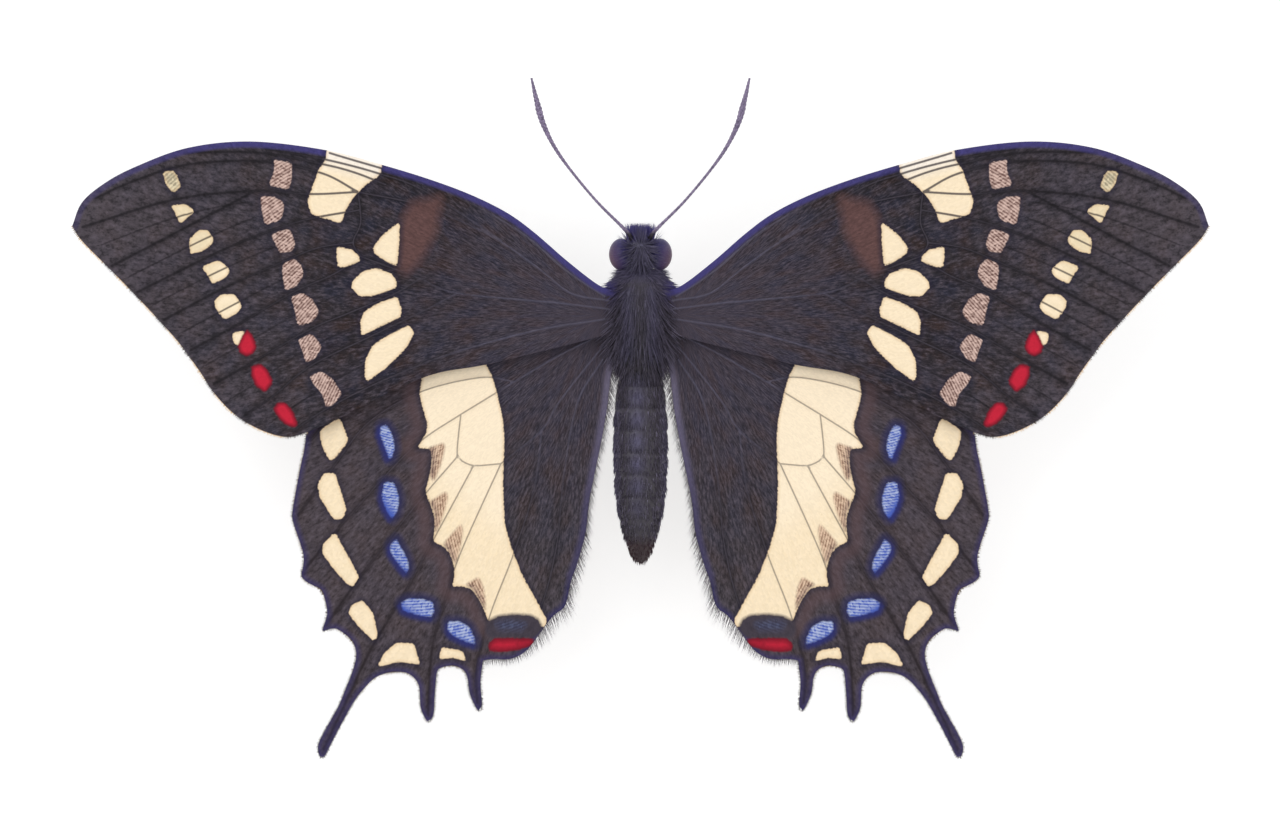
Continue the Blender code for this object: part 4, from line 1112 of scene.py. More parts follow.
def coat_tree():
    """Tufts scattered over a skin that lie along its coat."""
    tree, given = open_tree("coat_tufts", HAIR_SIZES)
    crowd = add(tree, "GeometryNodeInputNamedAttribute", {"Name": "crowd"}, data_type="FLOAT")
    packed = add(tree, "ShaderNodeMath", {0: crowd.outputs[0], 1: given["Density"]},
                 operation="MULTIPLY")
    roots = add(tree, "GeometryNodeDistributePointsOnFaces", {
        "Mesh": given["Geometry"], "Density": packed.outputs[0], "Seed": given["Seed"]})
    held = add(tree, "GeometryNodeStoreNamedAttribute", {
        0: roots.outputs["Points"], "Name": "out", "Value": roots.outputs["Normal"]},
        data_type="FLOAT_VECTOR", domain="POINT")
    facing = add(tree, "GeometryNodeInputNamedAttribute", {"Name": "out"},
                 data_type="FLOAT_VECTOR").outputs[0]
    plant(tree, given, held.outputs[0], facing)
    return tree


def line_tree():
    """Hairs planted at one spacing along a line, Density being the hairs per metre."""
    tree, given = open_tree("line_hairs", HAIR_SIZES)
    curve = add(tree, "GeometryNodeMeshToCurve", {0: given["Geometry"]})
    gap = add(tree, "ShaderNodeMath", {0: 1.0, 1: given["Density"]}, operation="DIVIDE")
    roots = add(tree, "GeometryNodeResampleCurve", {"Curve": curve.outputs[0],
                                                    "Length": gap.outputs[0]}, mode="LENGTH")
    points = add(tree, "GeometryNodeCurveToPoints", {"Curve": roots.outputs[0]},
                 mode="EVALUATED")
    facing = add(tree, "ShaderNodeCombineXYZ", {2: 1.0}).outputs[0]
    plant(tree, given, points.outputs[0], facing)
    return tree


def grow(name, mesh, tree, values):
    """Run a tree on a mesh and keep the result as a plain mesh."""
    holder = bpy.data.objects.new(name, mesh)
    bpy.context.scene.collection.objects.link(holder)
    modifier = holder.modifiers.new("hair", "NODES")
    modifier.node_group = tree
    sockets = {item.name: item.identifier for item in tree.interface.items_tree
               if item.in_out == "INPUT"}
    for key, value in values.items():
        modifier[sockets[key]] = value
    graph = bpy.context.evaluated_depsgraph_get()
    grown = bpy.data.meshes.new_from_object(holder.evaluated_get(graph))
    grown.name = name
    bpy.data.objects.remove(holder)
    if not len(grown.polygons):
        raise RuntimeError(f"{name} grew no faces")
    return grown


def hair_values(density, thickness, stray, curl, seed, finish):
    """The inputs of a hair tree: hairs for each metre or square metre, and millimetres."""
    return {"Density": density, "Thickness": thickness * MM, "Stray": stray, "Curl": curl,
            "Patch": PATCH, "Seed": seed, "Material": finish}


def hair_finish(name, dark, light, pale):
    """Hair of chitin: fine dry strands with a soft sheen, each tuft a little lighter or darker than
    the next, with a paler bloom where the mesh says so, on the body partly a painted highlight, and
    a painted violet sheen."""
    made, tree = new_finish(name, {"Roughness": 0.6, "Specular IOR Level": 0.2,
                                   "Sheen Weight": 0.1})
    # On the body coat the pale field is partly a painted highlight, and the violet field is a
    # painted sheen.
    shade, bloom, rust, violet = (
        add(tree, "ShaderNodeAttribute", attribute_name=field).outputs["Fac"]
        for field in ("tuft_shade", "pale", "rust", "violet"))
    surface(tree, coated(tree, dark, (beyond(tree, shade, 0.35, 1.0), light),
                         (beyond(tree, shade, 0.90, 0.97, 0.45), "#86819A"), (bloom, pale),
                         (rust, "#3C262B"), (violet, "#4C4390")))
    return made


# Margin hair

# Spacing of the points along the outer and the inner margins.
MARGIN_STEP, INNER_STEP = 0.3, 0.25
# Length of the inner margin's hair as a share of its setting, from the tail to the root.
INNER_REACH = ((-23.0, 0.40), (-22.0, 0.50), (-20.0, 0.90), (-14.0, 0.90), (-8.0, 0.70),
               (-3.0, 0.55), (1.0, 0.85), (5.6, 1.10))
# The way that hair lies: mostly backwards, and a little out of the wing.
INNER_BACK, INNER_OUT = np.array((-0.16, -1.0, 0.0)), 0.32


def margin(name, points, lie, hair_length, pale, stand):
    """A line mesh that carries what the hair along it needs."""
    count = len(points)
    mesh = bpy.data.meshes.new(name)
    mesh.from_pydata(points * MM, [(i, i + 1) for i in range(count - 1)], [])
    give(mesh, "lie", lie, "FLOAT_VECTOR")
    for field, value in (("hair_length", hair_length * MM), ("pale", pale), ("stand", stand)):
        give(mesh, field, np.broadcast_to(value, count))
    plan = np.column_stack([np.linspace(PLAN_EDGE, 1 - PLAN_EDGE, count),
                            np.full(count, 0.5), np.zeros(count)])
    give(mesh, "skin_plan", plan, "FLOAT_VECTOR")
    return mesh


def outward_of(run):
    """Directions in plan that point to the left of a run, out of the wing where it runs so."""
    along = headings(run)
    return np.column_stack([-along[:, 1], along[:, 0], np.zeros(len(run))])


class BUTTERFLY_OT_margin_hair(bpy.types.Operator):
    """Make the scale fringes of the outer margins and the long hair of the inner margins"""
    bl_idname = "butterfly.margin_hair"
    bl_label = "Margin hair"

    def execute(self, context):
        settings = context.scene.butterfly_wings
        tree = line_tree()
        finish = hair_finish("fringe_scales", "#2E2629", "#4A3B36", "#E9C48E")
        for stem, run, height, veins, palest in (
                ("forewing", FORE_OUTER, fore_height, FORE_VEINS, 0.95),
                ("hindwing", HIND_OUTER + HIND_TAILS[1:], hind_height, HIND_VEINS, 0.15)):
            line = even(eased(run, MARGIN_STEP), MARGIN_STEP)
            # The fringe is pale between the veins.
            near = distance_to(line, *(eased(vein, LINE_STEP) for vein in veins.values()))
            pale = rise(near, 0.7, 0.5) * palest
            out = -outward_of(line) if self.faces_in(line) else outward_of(line)
            points = np.column_stack([line, height(line[:, 0], line[:, 1])])
            mesh = margin(stem, points - 0.05 * out, out, settings.fringe / MM, pale, 0.0)
            grown = grow(stem + "_fringe", mesh, tree, hair_values(
                density=16000.0, thickness=0.04, stray=0.35, curl=0.0, seed=SEED,
                finish=finish))
            both_sides(stem + "_fringe", grown, finish, "wing")
        finish = hair_finish("inner_margin_hair", "#48424A", "#989199", "#3A3336")
        line = even(eased(HIND_INNER, MARGIN_STEP), INNER_STEP)
        lie = INNER_OUT * outward_of(line) + 0.9 * INNER_BACK
        points = np.column_stack([line, hind_height(line[:, 0], line[:, 1])])
        points += 0.15 * np.sign(points * (1, 0, 0))
        reach = profile(line[:, 1], INNER_REACH) * settings.inner_hair / MM
        haired = line[:, 1] < INNER_REACH[-1][0]
        mesh = margin("inner_margin", points[haired], lie[haired], reach[haired], 0.15, 0.1)
        grown = grow("inner_margin_hair", mesh, tree, hair_values(
            density=22000.0, thickness=0.026, stray=0.20, curl=0.0003, seed=SEED + 1,
            finish=finish))
        both_sides("inner_margin_hair", grown, finish, "wing")
        return {"FINISHED"}

    @staticmethod
    def faces_in(line):
        """Whether the left of a line looks towards the wing's root."""
        half = len(line) // 2
        return outward_of(line)[half][:2] @ (line[half] - ROOT) < 0


# Body

# How softly the forms of the body meet, the least half size of the skin, a bottom that never
# counts, and the rings and sides of the skin.
BODY_EASE, LEAST_SKIN, NO_BOTTOM = 0.12, 0.05, 99
SKIN_RINGS, SKIN_SIDES = 220, 60
# How far the skin's first and last ring stay inside the body's ends, and its caps past them.
TIP_INSET, FACE_INSET, TIP_CAP, FACE_CAP = 0.15, 0.25, 0.10, 0.15
# Depth and width of the groove between two segments of the abdomen.
GROOVE_DEPTH, GROOVE_WIDTH = 0.055, 0.09
# The coat along the body, as pairs of y and value: length, how far it stands up, crowding.
COAT_LENGTH = ((ABDOMEN_TIP, 0.40), (-8.0, 0.55), (2.5, 0.75), (5.0, 1.7), (7.0, 1.9),
               (11.5, 1.6), (12.6, 1.30), (13.3, 1.05), (13.8, 1.35), (14.4, 1.60),
               (15.0, 1.75), (16.2, 1.7), (18.0, 0.9))
COAT_STAND = ((ABDOMEN_TIP, 0.12), (3.0, 0.16), (6.0, 0.34), (12.0, 0.46), (14.0, 0.50),
              (15.0, 0.30), (16.2, 0.30), (16.5, 0.25), (18.0, 0.10))
COAT_CROWD = ((ABDOMEN_TIP, 1.0), (3.0, 0.9), (5.0, 0.8), (12.0, 1.0), (13.0, 2.0),
              (15.0, 2.2), (18.0, 2.6))


def smooth_most(values):
    """The largest of several sizes, eased where two of them meet."""
    values = np.array(values)
    most = values.max(0)
    return most + BODY_EASE * np.log(np.exp((values - most) / BODY_EASE).sum(0))


def segment_place(y):
    """How far each place is through its segment of the abdomen, from its front to its end."""
    return ((ABDOMEN_START - y) / ABDOMEN_LENGTH * ABDOMEN_SEGMENTS) % 1.0


def body_sections(y, settings):
    """Half width, middle height and half height of the body's skin at each place along it."""
    widths, tops, bottoms = [], [], []
    for shape, middle_y, middle_z, half_length, half_width, up, down in (
            (THORAX_SHAPE, THORAX_Y, THORAX_Z, THORAX_HALF_LENGTH, THORAX_HALF_WIDTH,
             THORAX_UP, THORAX_DOWN),
            (HEAD_SHAPE, HEAD_Y, HEAD_Z, HEAD_HALF_LENGTH, HEAD_HALF_WIDTH, HEAD_UP,
             HEAD_DOWN)):
        at = (y - middle_y) / half_length
        wide, above, below = (np.interp(at, shape[:, 0], shape[:, k], 0, 0) for k in (1, 2, 3))
        widths.append(wide * half_width)
        tops.append(np.where(wide > 0, middle_z + above * up, 0))
        bottoms.append(np.where(wide > 0, middle_z - below * down, NO_BOTTOM))
    at = (ABDOMEN_START - y) / ABDOMEN_LENGTH
    size = np.interp(at, ABDOMEN_SHAPE[:, 0], ABDOMEN_SHAPE[:, 1], 0, 0)
    ring = segment_place(y)
    groove = 1 - GROOVE_DEPTH * hump(np.minimum(ring, 1 - ring), 0, GROOVE_WIDTH)
    middle = THORAX_Z - ABDOMEN_STEP - ABDOMEN_DROOP * np.clip(at, 0, 1) ** 1.5
    size = np.where(size > 0, size * groove, 0)
    widths.append(size * ABDOMEN_HALF_WIDTH)
    tops.append(np.where(size > 0, middle + size * ABDOMEN_HALF_HEIGHT, 0))
    bottoms.append(np.where(size > 0, middle - size * ABDOMEN_HALF_HEIGHT, NO_BOTTOM))
    coat = profile(y, ((ABDOMEN_TIP, 0.05), (4.0, settings.abdomen_depth / MM),
                       (6.0, settings.thorax_depth / MM), (13.0, 0.45), (14.6, 0.2),
                       (HEAD_FRONT, 0.2)))
    top, bottom = smooth_most(tops), -smooth_most([-b for b in bottoms])
    wide = np.maximum(smooth_most(widths) - coat, LEAST_SKIN)
    tall = np.maximum((top - bottom) / 2 - coat, LEAST_SKIN)
    return wide, (top + bottom) / 2, tall


def skin_mesh(settings):
    """One closed skin from the abdomen's tip to the face."""
    y = np.linspace(ABDOMEN_TIP + TIP_INSET, HEAD_FRONT - FACE_INSET, SKIN_RINGS)
    wide, middle, tall = body_sections(y, settings)
    sides = SKIN_SIDES
    turn = 2 * math.pi * np.arange(sides) / sides - math.pi / 2
    rings = np.stack([wide[:, None] * np.cos(turn), np.repeat(y[:, None], sides, 1),
                      middle[:, None] + tall[:, None] * np.sin(turn)], axis=2)
    points = rings.reshape(-1, 3)
    ends = np.array([(0.0, y[0] - TIP_CAP, middle[0]), (0.0, y[-1] + FACE_CAP, middle[-1])])
    faces, plan = [], []
    for i in range(len(y) - 1):
        for j in range(sides):
            k = (j + 1) % sides
            a, b = i * sides, (i + 1) * sides
            faces.append((a + j, b + j, b + k, a + k))
            u, v = (j / sides, (j + 1) / sides), (i / len(y), (i + 1) / len(y))
            plan += [(u[0], v[0]), (u[0], v[1]), (u[1], v[1]), (u[1], v[0])]
    count, last = len(points), (len(y) - 1) * sides
    for j in range(sides):
        k = (j + 1) % sides
        faces += [(j, k, count), (last + k, last + j, count + 1)]
        plan += [(j / sides, 0.0), ((j + 1) / sides, 0.0), ((j + 0.5) / sides, 0.0)]
        plan += [((j + 1) / sides, 1.0), (j / sides, 1.0), ((j + 0.5) / sides, 1.0)]
    mesh = mesh_from("body_skin", np.vstack([points, ends]), faces)
    layer = mesh.uv_layers.new(name="skin_plan")
    plan = PLAN_EDGE + (1 - 2 * PLAN_EDGE) * np.array(plan)
    layer.data.foreach_set("uv", plan.astype(np.float32).ravel())
    return mesh


def lie_of(x, y, z):
    """The way the coat lies: back along the body, but outwards in some of its zones."""
    wide, sign = np.abs(x), np.where(x < 0, -1.0, 1.0)
    count = len(x)
    lie = np.column_stack([0.30 * np.clip(x / 3.0, -1, 1), -np.ones(count), np.zeros(count)])
    # Each zone is where it holds, and how far its hair points outwards, ahead and up.
    for held, out, ahead, up in (
            # The crown's hair falls out over the eyes, and the face has a square forward brush.
            (rise(y, 14.2, 0.6) * rise(wide, 0, 0.9), 0.95, -0.15, 0.34),
            (rise(y, 16.3, 0.5), 0.04, 1.0, 0.08),
            # The neck is hidden in a ruff, and the shoulders bristle in front of the wings.
            (hump(y, 14.05, 0.5) * rise(wide, 0, 0.8), 0.95, -0.35, 0.10),
            (hump(y, 12.6, 0.8) * rise(wide, 1.0, 1.0), 0.95, -0.25, 0.05),
            (hump(y, 9.3, 2.6) * rise(wide, 1.8, 1.0) * rise(z, 12.0, 0.6), 1.0, -0.8, 0.12)):
        aim = np.column_stack([out * sign, np.full(count, ahead), np.full(count, up)])
        lie = lie * (1 - held[:, None]) + held[:, None] * aim
    return lie


def comb(mesh):
    """Write the lie, length, crowding, tints and painted highlight of the coat into the points of
    the skin.
    """
    x, y, z = points_of(mesh).T
    wide = np.abs(x)
    hair = np.where(y > 16.5, np.clip(18.6 - y, 0.5, 1.6), profile(y, COAT_LENGTH))
    hair = np.where((y > 16.4) & (wide > 1.25), 0.45, hair)
    # No hair grows in the eyes.
    eye_gap = np.linalg.norm((np.column_stack([wide, y, z]) - EYE_MIDDLE) / (EYE_RADII + 0.1),
                             axis=1)
    # The bloom is partly blue-grey hair and partly painted highlight: the line down the abdomen's
    # back, left of its middle and brightest on each segment's swell, and the lighter head, painted
    # against the shade in its dense hair.
    back = rise(z, 12.2, 1.2)
    dorsal = hump(x, -0.35, 0.75) * back * (y < 4.5)
    bloom = np.max([0.44 * dorsal * (0.35 + 0.65 * hump(segment_place(y), 0.55, 0.28)),
                    0.35 * rise(wide, 1.7, 1.0) * (y < 2.0),
                    0.30 * hump(wide, 1.0, 0.6) * back * (y > 6.0) * (y < 12.5),
                    0.35 * rise(y, 12.5, 1.5)], axis=0)
    # A painted violet sheen on top of the face's brush, over the eyes and on the shoulders.
    violet = np.max([rise(y, 16.3, 0.7) * rise(wide + y, 17.0, 0.6, 0.2),
                     rise(wide, 0.8, 0.5) * rise(y, 14.7, 0.6),
                     rise(wide, 1.6, 0.7) * hump(y, 12.6, 0.9)], axis=0)
    give(mesh, "lie", lie_of(x, y, z), "FLOAT_VECTOR")
    for field, values in (("hair_length", hair * MM), ("stand", profile(y, COAT_STAND)),
                          ("crowd", np.where(eye_gap < 1.0, 0.0, profile(y, COAT_CROWD))),
                          ("pale", bloom),
                          ("violet", 0.70 * violet * rise(z, 11.3, 1.6, 0.15)),
                          ("rust", 0.95 * rise(y, ABDOMEN_TIP + 2.9, -1.1))):
        give(mesh, field, values)


def skin_finish(settings):
    """Insect cuticle under its coat: hard, dark and faintly glossy, finely wrinkled between the
    hairs, with the same bloom and painted highlight as the hair over it."""
    made, tree = new_finish("dark_cuticle", {"Roughness": 0.5})
    at = add(tree, "ShaderNodeTexCoord").outputs["Object"]
    # Wrinkles of the cuticle are about 0.1 mm apart.
    wrinkle = add(tree, "ShaderNodeTexNoise", {"Vector": at, "Scale": 9.0 / MM,
                                               "Detail": 4.0}).outputs[0]
    # The pale field is the coat's bloom, partly a painted highlight.
    bloom, rust = (add(tree, "ShaderNodeAttribute", attribute_name=field).outputs["Fac"]
                   for field in ("pale", "rust"))
    surface(tree, coated(tree, "#1A1618", (wrinkle, settings.hair), (bloom, settings.bloom),
                         (rust, "#2E1C20")), wrinkle, 0.4, 0.04)
    return made


class BUTTERFLY_OT_body(bpy.types.Operator):
    """Make the skin of thorax, head and abdomen, and the coat of hair on it"""
    bl_idname = "butterfly.body"
    bl_label = "Body and coat"

    def execute(self, context):
        settings = context.scene.butterfly_body
        mesh = skin_mesh(settings)
        comb(mesh)
        hair = hair_finish("body_hair", settings.hair, "#655E72", settings.bloom)
        grown = grow("body_coat", mesh.copy(), coat_tree(), hair_values(
            density=24.0e6, thickness=settings.tuft / MM, stray=0.16, curl=-1.0, seed=SEED,
            finish=hair))
        place("body_skin", mesh, skin_finish(settings), "body", "thorax", "head", "abdomen")
        place("body_coat", grown, hair, "body")
        return {"FINISHED"}


# Feelers, legs and mouth

# Each joint of a feeler is about 0.42 mm long and narrows where it meets the next. Its first
# rings widen to a root joint.
FEELER_STEP, FEELER_JOINT, FEELER_NARROWS = 0.08, 0.42, 0.20
FEELER_ROOT = (1.5, 1.6, 1.6, 1.5, 1.3, 1.1)
# How far from a leg's joint its bend sets in, and how many joints its foot has.
KNEE_REACH, KNEE_SHARE, KNEE_POINTS = 0.9, 0.4, 7
FOOT_JOINTS = 5
# How much the thigh swells, a joint narrows, and a foot's joint narrows and flares; and how
# far the swelling and the narrowing reach.
THIGH_SWELL, JOINT_WAIST, FOOT_WAIST, FOOT_FLARE = 0.18, 0.22, 0.80, 0.28
THIGH_REACH, JOINT_REACH = 1.6, 0.16
# Spacing of a leg's rings, and the radii of claws and spurs at their roots and tips.
LEG_STEP, CLAW_ROOT, SPUR_ROOT, SPINE_TIP = 0.10, 0.075, 0.09, 0.012
# A claw's points, as millimetres ahead of the toe, out to its side and up.
CLAW = ((0.0, 0.0, 0.0), (0.22, 0.16, 0.10), (0.46, 0.26, 0.03), (0.56, 0.22, -0.10))
# A spur's reach along the shin and to its side, and how far its middle bows out.
SPUR_ALONG, SPUR_SIDE, SPUR_BOW = 0.75, 0.35, 0.08
TUBE_SIDES, LEG_SIDES, SPINE_SIDES = 14, 12, 6
# The tongue's points, the angle where its coil starts, its rings' spacing, its radii at
# root and end, and how much thicker every other ring is.
COIL_POINTS, COIL_START_DEGREES, TONGUE_STEP = 90, 115, 0.06
TONGUE_RADII, TONGUE_RIB = (0.24, 0.10), 0.07


def loft(name, path, radii, sides):
    """A closed round skin along a path, its rings turned as little as possible."""
    along = headings(path)
    side = np.cross(along[0], (0.0, 0.0, 1.0) if abs(along[0][2]) < 0.9 else (1.0, 0.0, 0.0))
    turn = 2 * math.pi * np.arange(sides) / sides
    rings = []
    for point, ahead, radius in zip(path, along, radii):
        side = side - ahead * (side @ ahead)
        side /= np.linalg.norm(side)
        up = np.cross(side, ahead)
        rings.append(point + radius * (np.cos(turn)[:, None] * side
                                       + np.sin(turn)[:, None] * up))
    faces, count, last = [], len(path) * sides, (len(path) - 1) * sides
    for a in range(0, last, sides):
        for j in range(sides):
            k = (j + 1) % sides
            faces.append((a + j, a + k, a + sides + k, a + sides + j))
    for j in range(sides):
        k = (j + 1) % sides
        faces += [(k, j, count), (last + j, last + k, count + 1)]
    return outwards(mesh_from(name, np.vstack(rings + [path[:1], path[-1:]]), faces))


def cuticle(name, tone, fleck, specks_per_mm, roughness):
    """Chitin of legs and feelers: smooth dark cuticle under flat scales, slightly glossy,
    with fine speckles along it."""
    made, tree = new_finish(name, {"Roughness": roughness})
    at = add(tree, "ShaderNodeTexCoord").outputs["Object"]
    speck = add(tree, "ShaderNodeTexVoronoi", {"Vector": at, "Scale": specks_per_mm / MM})
    drawn = add(tree, "ShaderNodeSeparateColor", {0: speck.outputs["Color"]}).outputs[0]
    dusk = add(tree, "ShaderNodeAttribute", attribute_name="dusk").outputs["Fac"]
    surface(tree, coated(tree, tone, (drawn, fleck), (dusk, "#231E26")),
            speck.outputs["Distance"], 0.3, 0.03)
    return made


def tube_path(points, radii, fine, spacing):
    """An eased path through some points, at one spacing, and the radius along it."""
    rough = eased(points, fine)
    knots = np.linspace(0, 1, len(radii))
    return even(rough, spacing, np.interp(np.linspace(0, 1, len(rough)), knots, radii))


class BUTTERFLY_OT_feelers(bpy.types.Operator):
    """Make the jointed feelers with their clubs"""
    bl_idname = "butterfly.feelers"
    bl_label = "Feelers"

    def execute(self, context):
        settings = context.scene.butterfly_body
        path, radii = tube_path(ANTENNA_PATH, ANTENNA_RADII, 0.2, FEELER_STEP)
        phase = (np.arange(len(path)) * FEELER_STEP / FEELER_JOINT) % 1.0
        radii = radii * (1 - FEELER_NARROWS * hump(np.minimum(phase, 1 - phase), 0, JOINT_REACH))
        radii[:len(FEELER_ROOT)] *= FEELER_ROOT
        mesh = loft("feeler", path, radii, TUBE_SIDES)
        # The root joints are as dark as the hair round them.
        give(mesh, "dusk", rise(points_of(mesh)[:, 1], 18.0, -0.5))
        finish = cuticle("feeler_scales", settings.feeler, "#463C58", 11.0, 0.5)
        both_sides("jointed_feeler", mesh, finish, "body", "antenna")
        return {"FINISHED"}


def leg_run(points):
    """A leg's path with every joint rounded."""
    run = [points[:1]]
    for before, here, after in zip(points, points[1:], points[2:]):
        ends = []
        for other in (before, after):
            reach = min(KNEE_REACH, KNEE_SHARE * np.linalg.norm(here - other))
            ends.append(here + (other - here) / np.linalg.norm(other - here) * reach)
        t = np.linspace(0, 1, KNEE_POINTS)[:, None]
        run.append((1 - t) ** 2 * ends[0] + 2 * t * (1 - t) * here + t * t * ends[1])
    run.append(points[-1:])
    return np.vstack(run)


def spine(name, path, thick):
    """A thin tube that tapers almost to a point."""
    return loft(name, path, np.linspace(thick, SPINE_TIP, len(path)), SPINE_SIDES)


def leg_meshes(pair, points):
    """The parts of one leg with its claws and spurs, and its path beyond the knee."""
    path = even(leg_run(points), LEG_STEP)
    along = along_of(path)
    joints = [along[np.argmin(np.linalg.norm(path - p, axis=1))] for p in points]
    radii = np.interp(along, joints, LEG_RADII)
    radii *= 1 + THIGH_SWELL * hump(along, joints[1] + THIGH_REACH, THIGH_REACH)
    for joint in joints[1:4]:
        radii *= 1 - JOINT_WAIST * hump(along, joint, JOINT_REACH)
    foot = (along - joints[3]) / (joints[5] - joints[3])
    widening = FOOT_WAIST + FOOT_FLARE * ((foot * FOOT_JOINTS) % 1.0) ** 2
    meshes = [loft("leg", path, np.where(foot > 0, radii * widening, radii), LEG_SIDES)]
    toe, ahead = path[-1], path[-1] - path[-4]
    ahead /= np.linalg.norm(ahead)
    across = np.cross(ahead, (0, 0, 1.0))
    for side in (-1, 1):
        claw = [toe + far * ahead + side * out * across + (0, 0, up) for far, out, up in CLAW]
        meshes.append(spine("claw", eased(claw, 0.05), CLAW_ROOT))
    ankle = path[np.argmin(np.abs(along - joints[3] + 0.5))]
    shin = points[3] - points[2]
    shin /= np.linalg.norm(shin)
    sideways = np.cross(shin, (0, 0, 1.0))
    for side in (-1,) if pair == "front" else (-1, 1):
        tip = ankle + SPUR_ALONG * shin + side * SPUR_SIDE * sideways
        bow = (ankle + tip) / 2 + side * SPUR_BOW * sideways
        meshes.append(spine("spur", eased([ankle, bow, tip], 0.06), SPUR_ROOT))
    return meshes, path[along > joints[2]]


class BUTTERFLY_OT_legs(bpy.types.Operator):
    """Make the six jointed legs with their spurs, spines and claws"""
    bl_idname = "butterfly.legs"
    bl_label = "Legs"

    def execute(self, context):
        settings = context.scene.butterfly_body
        finish = cuticle("leg_cuticle", settings.leg, "#4A3E3A", 8.0, 0.42)
        tree = line_tree()
        bristle = hair_finish("leg_bristles", "#1E191A", "#4A3F3C", "#6A5E58")
        bristles = []
        for pair, points in LEGS.items():
            meshes, shank = leg_meshes(pair, np.array(points))
            both_sides(f"jointed_leg_{pair}", joined(f"leg_{pair}", meshes), finish, "body",
                       f"leg_{pair}")
            mesh = margin("bristles", shank, 0.7 * headings(shank), 0.34, 0.2, 0.0)
            bristles.append(grow(f"bristles_{pair}", mesh, tree, hair_values(
                density=16000.0, thickness=0.018, stray=0.9, curl=0.0, seed=SEED + 3,
                finish=bristle)))
        hairs = joined("leg_bristles", bristles)
        # No bristle goes into the floor.
        for vert in hairs.vertices:
            vert.co.z = max(vert.co.z, 0.02 * MM)
        both_sides("leg_bristles", hairs, bristle, "body")
        return {"FINISHED"}


class BUTTERFLY_OT_mouth(bpy.types.Operator):
    """Make the hairy palps and the coiled tongue"""
    bl_idname = "butterfly.mouth"
    bl_label = "Palps and tongue"

    def execute(self, context):
        settings = context.scene.butterfly_body
        path, radii = tube_path(PALP_PATH, PALP_RADII, 0.1, 0.12)
        mesh = loft("palp", path, radii, TUBE_SIDES)
        at = points_of(mesh)
        count = len(at)
        nearest = np.argmin(np.linalg.norm(at[:, None] - path[None], axis=2), axis=1)
        plan = np.column_stack([nearest / len(path), np.arange(count) % TUBE_SIDES / TUBE_SIDES,
                                np.zeros(count)])
        give(mesh, "lie", headings(path)[nearest], "FLOAT_VECTOR")
        give(mesh, "skin_plan", plan, "FLOAT_VECTOR")
        for field, value in (("hair_length", 0.70 * MM), ("stand", 0.60), ("crowd", 1.0),
                             ("pale", 0.12)):
            give(mesh, field, np.full(count, value))
        hair = hair_finish("palp_hair", settings.hair, "#4D444A", "#77706F")
        grown = grow("palp_coat", mesh.copy(), coat_tree(), hair_values(
            density=60.0e6, thickness=0.04, stray=0.3, curl=-1.0, seed=SEED + 5,
            finish=hair))
        both_sides("palp_core", mesh, hair, "body", "palp")
        both_sides("palp_coat", grown, hair, "body")
        place("coiled_tongue", self.tongue(),
              cuticle("tongue_cuticle", "#3B2A22", "#20181A", 12.0, 0.35), "body",
              "proboscis")
        return {"FINISHED"}

    @staticmethod
    def tongue():
        """The coil under the head, tapering inwards from its root."""
        turns = np.linspace(0, COIL_TURNS, COIL_POINTS)
        reach = COIL_OUTER - COIL_PITCH * turns
        angle = math.radians(COIL_START_DEGREES) - 2 * math.pi * turns
        coil = np.column_stack([np.zeros(COIL_POINTS), COIL_Y + reach * np.cos(angle),
                                COIL_Z + reach * np.sin(angle)])
        root = np.array([(0.0, HEAD_Y - 0.35, HEAD_Z - 0.9 * HEAD_DOWN)])
        path = even(np.vstack([root, coil]), TONGUE_STEP)
        radii = np.linspace(*TONGUE_RADII, len(path))
        radii *= 1 + TONGUE_RIB * np.cos(np.arange(len(path)) * math.pi)
        return loft("tongue", path, radii, LEG_SIDES)


# Eyes

LENS_SIZES = (("Width", "Float"), ("Length", "Float"), ("Height", "Float"), ("Rise", "Float"),
              ("Material", "Material"))
# How far a lens rises, and the outer place on an eye of radius one where its painted glow sits.
LENS_RISE = 0.014
GLOW_PLACE, GLOW_REACH = (0.75, -0.35, 0.2), 1.3


def lens_tree():
    """Six-sided lenses over an eye: the dual of a fine ball, each face raised and shrunk."""
    tree, given = open_tree("eye_lenses", LENS_SIZES)
    ball = add(tree, "GeometryNodeMeshIcoSphere", {"Radius": 1.0, "Subdivisions": 5})
    cells = add(tree, "GeometryNodeDualMesh", {0: ball.outputs[0]})
    size = add(tree, "ShaderNodeCombineXYZ", {0: given["Width"], 1: given["Length"],
                                              2: given["Height"]})
    at = add(tree, "GeometryNodeInputPosition")
    shaped = add(tree, "ShaderNodeVectorMath", {0: at.outputs[0], 1: size.outputs[0]},
                 operation="MULTIPLY")
    egg = add(tree, "GeometryNodeSetPosition", {0: cells.outputs[0],
                                                "Position": shaped.outputs[0]})
    raised = add(tree, "GeometryNodeExtrudeMesh", {
        "Mesh": egg.outputs[0], "Offset Scale": given["Rise"], "Individual": True})
    lens = add(tree, "GeometryNodeScaleElements", {
        "Geometry": raised.outputs["Mesh"], "Selection": raised.outputs["Top"], "Scale": 0.72})
    real = add(tree, "GeometryNodeRealizeInstances", {0: lens.outputs[0]})
    dyed = add(tree, "GeometryNodeSetMaterial", {0: real.outputs[0],
                                                 "Material": given["Material"]})
    add(tree, "NodeGroupOutput", {0: dyed.outputs[0]})
    return tree


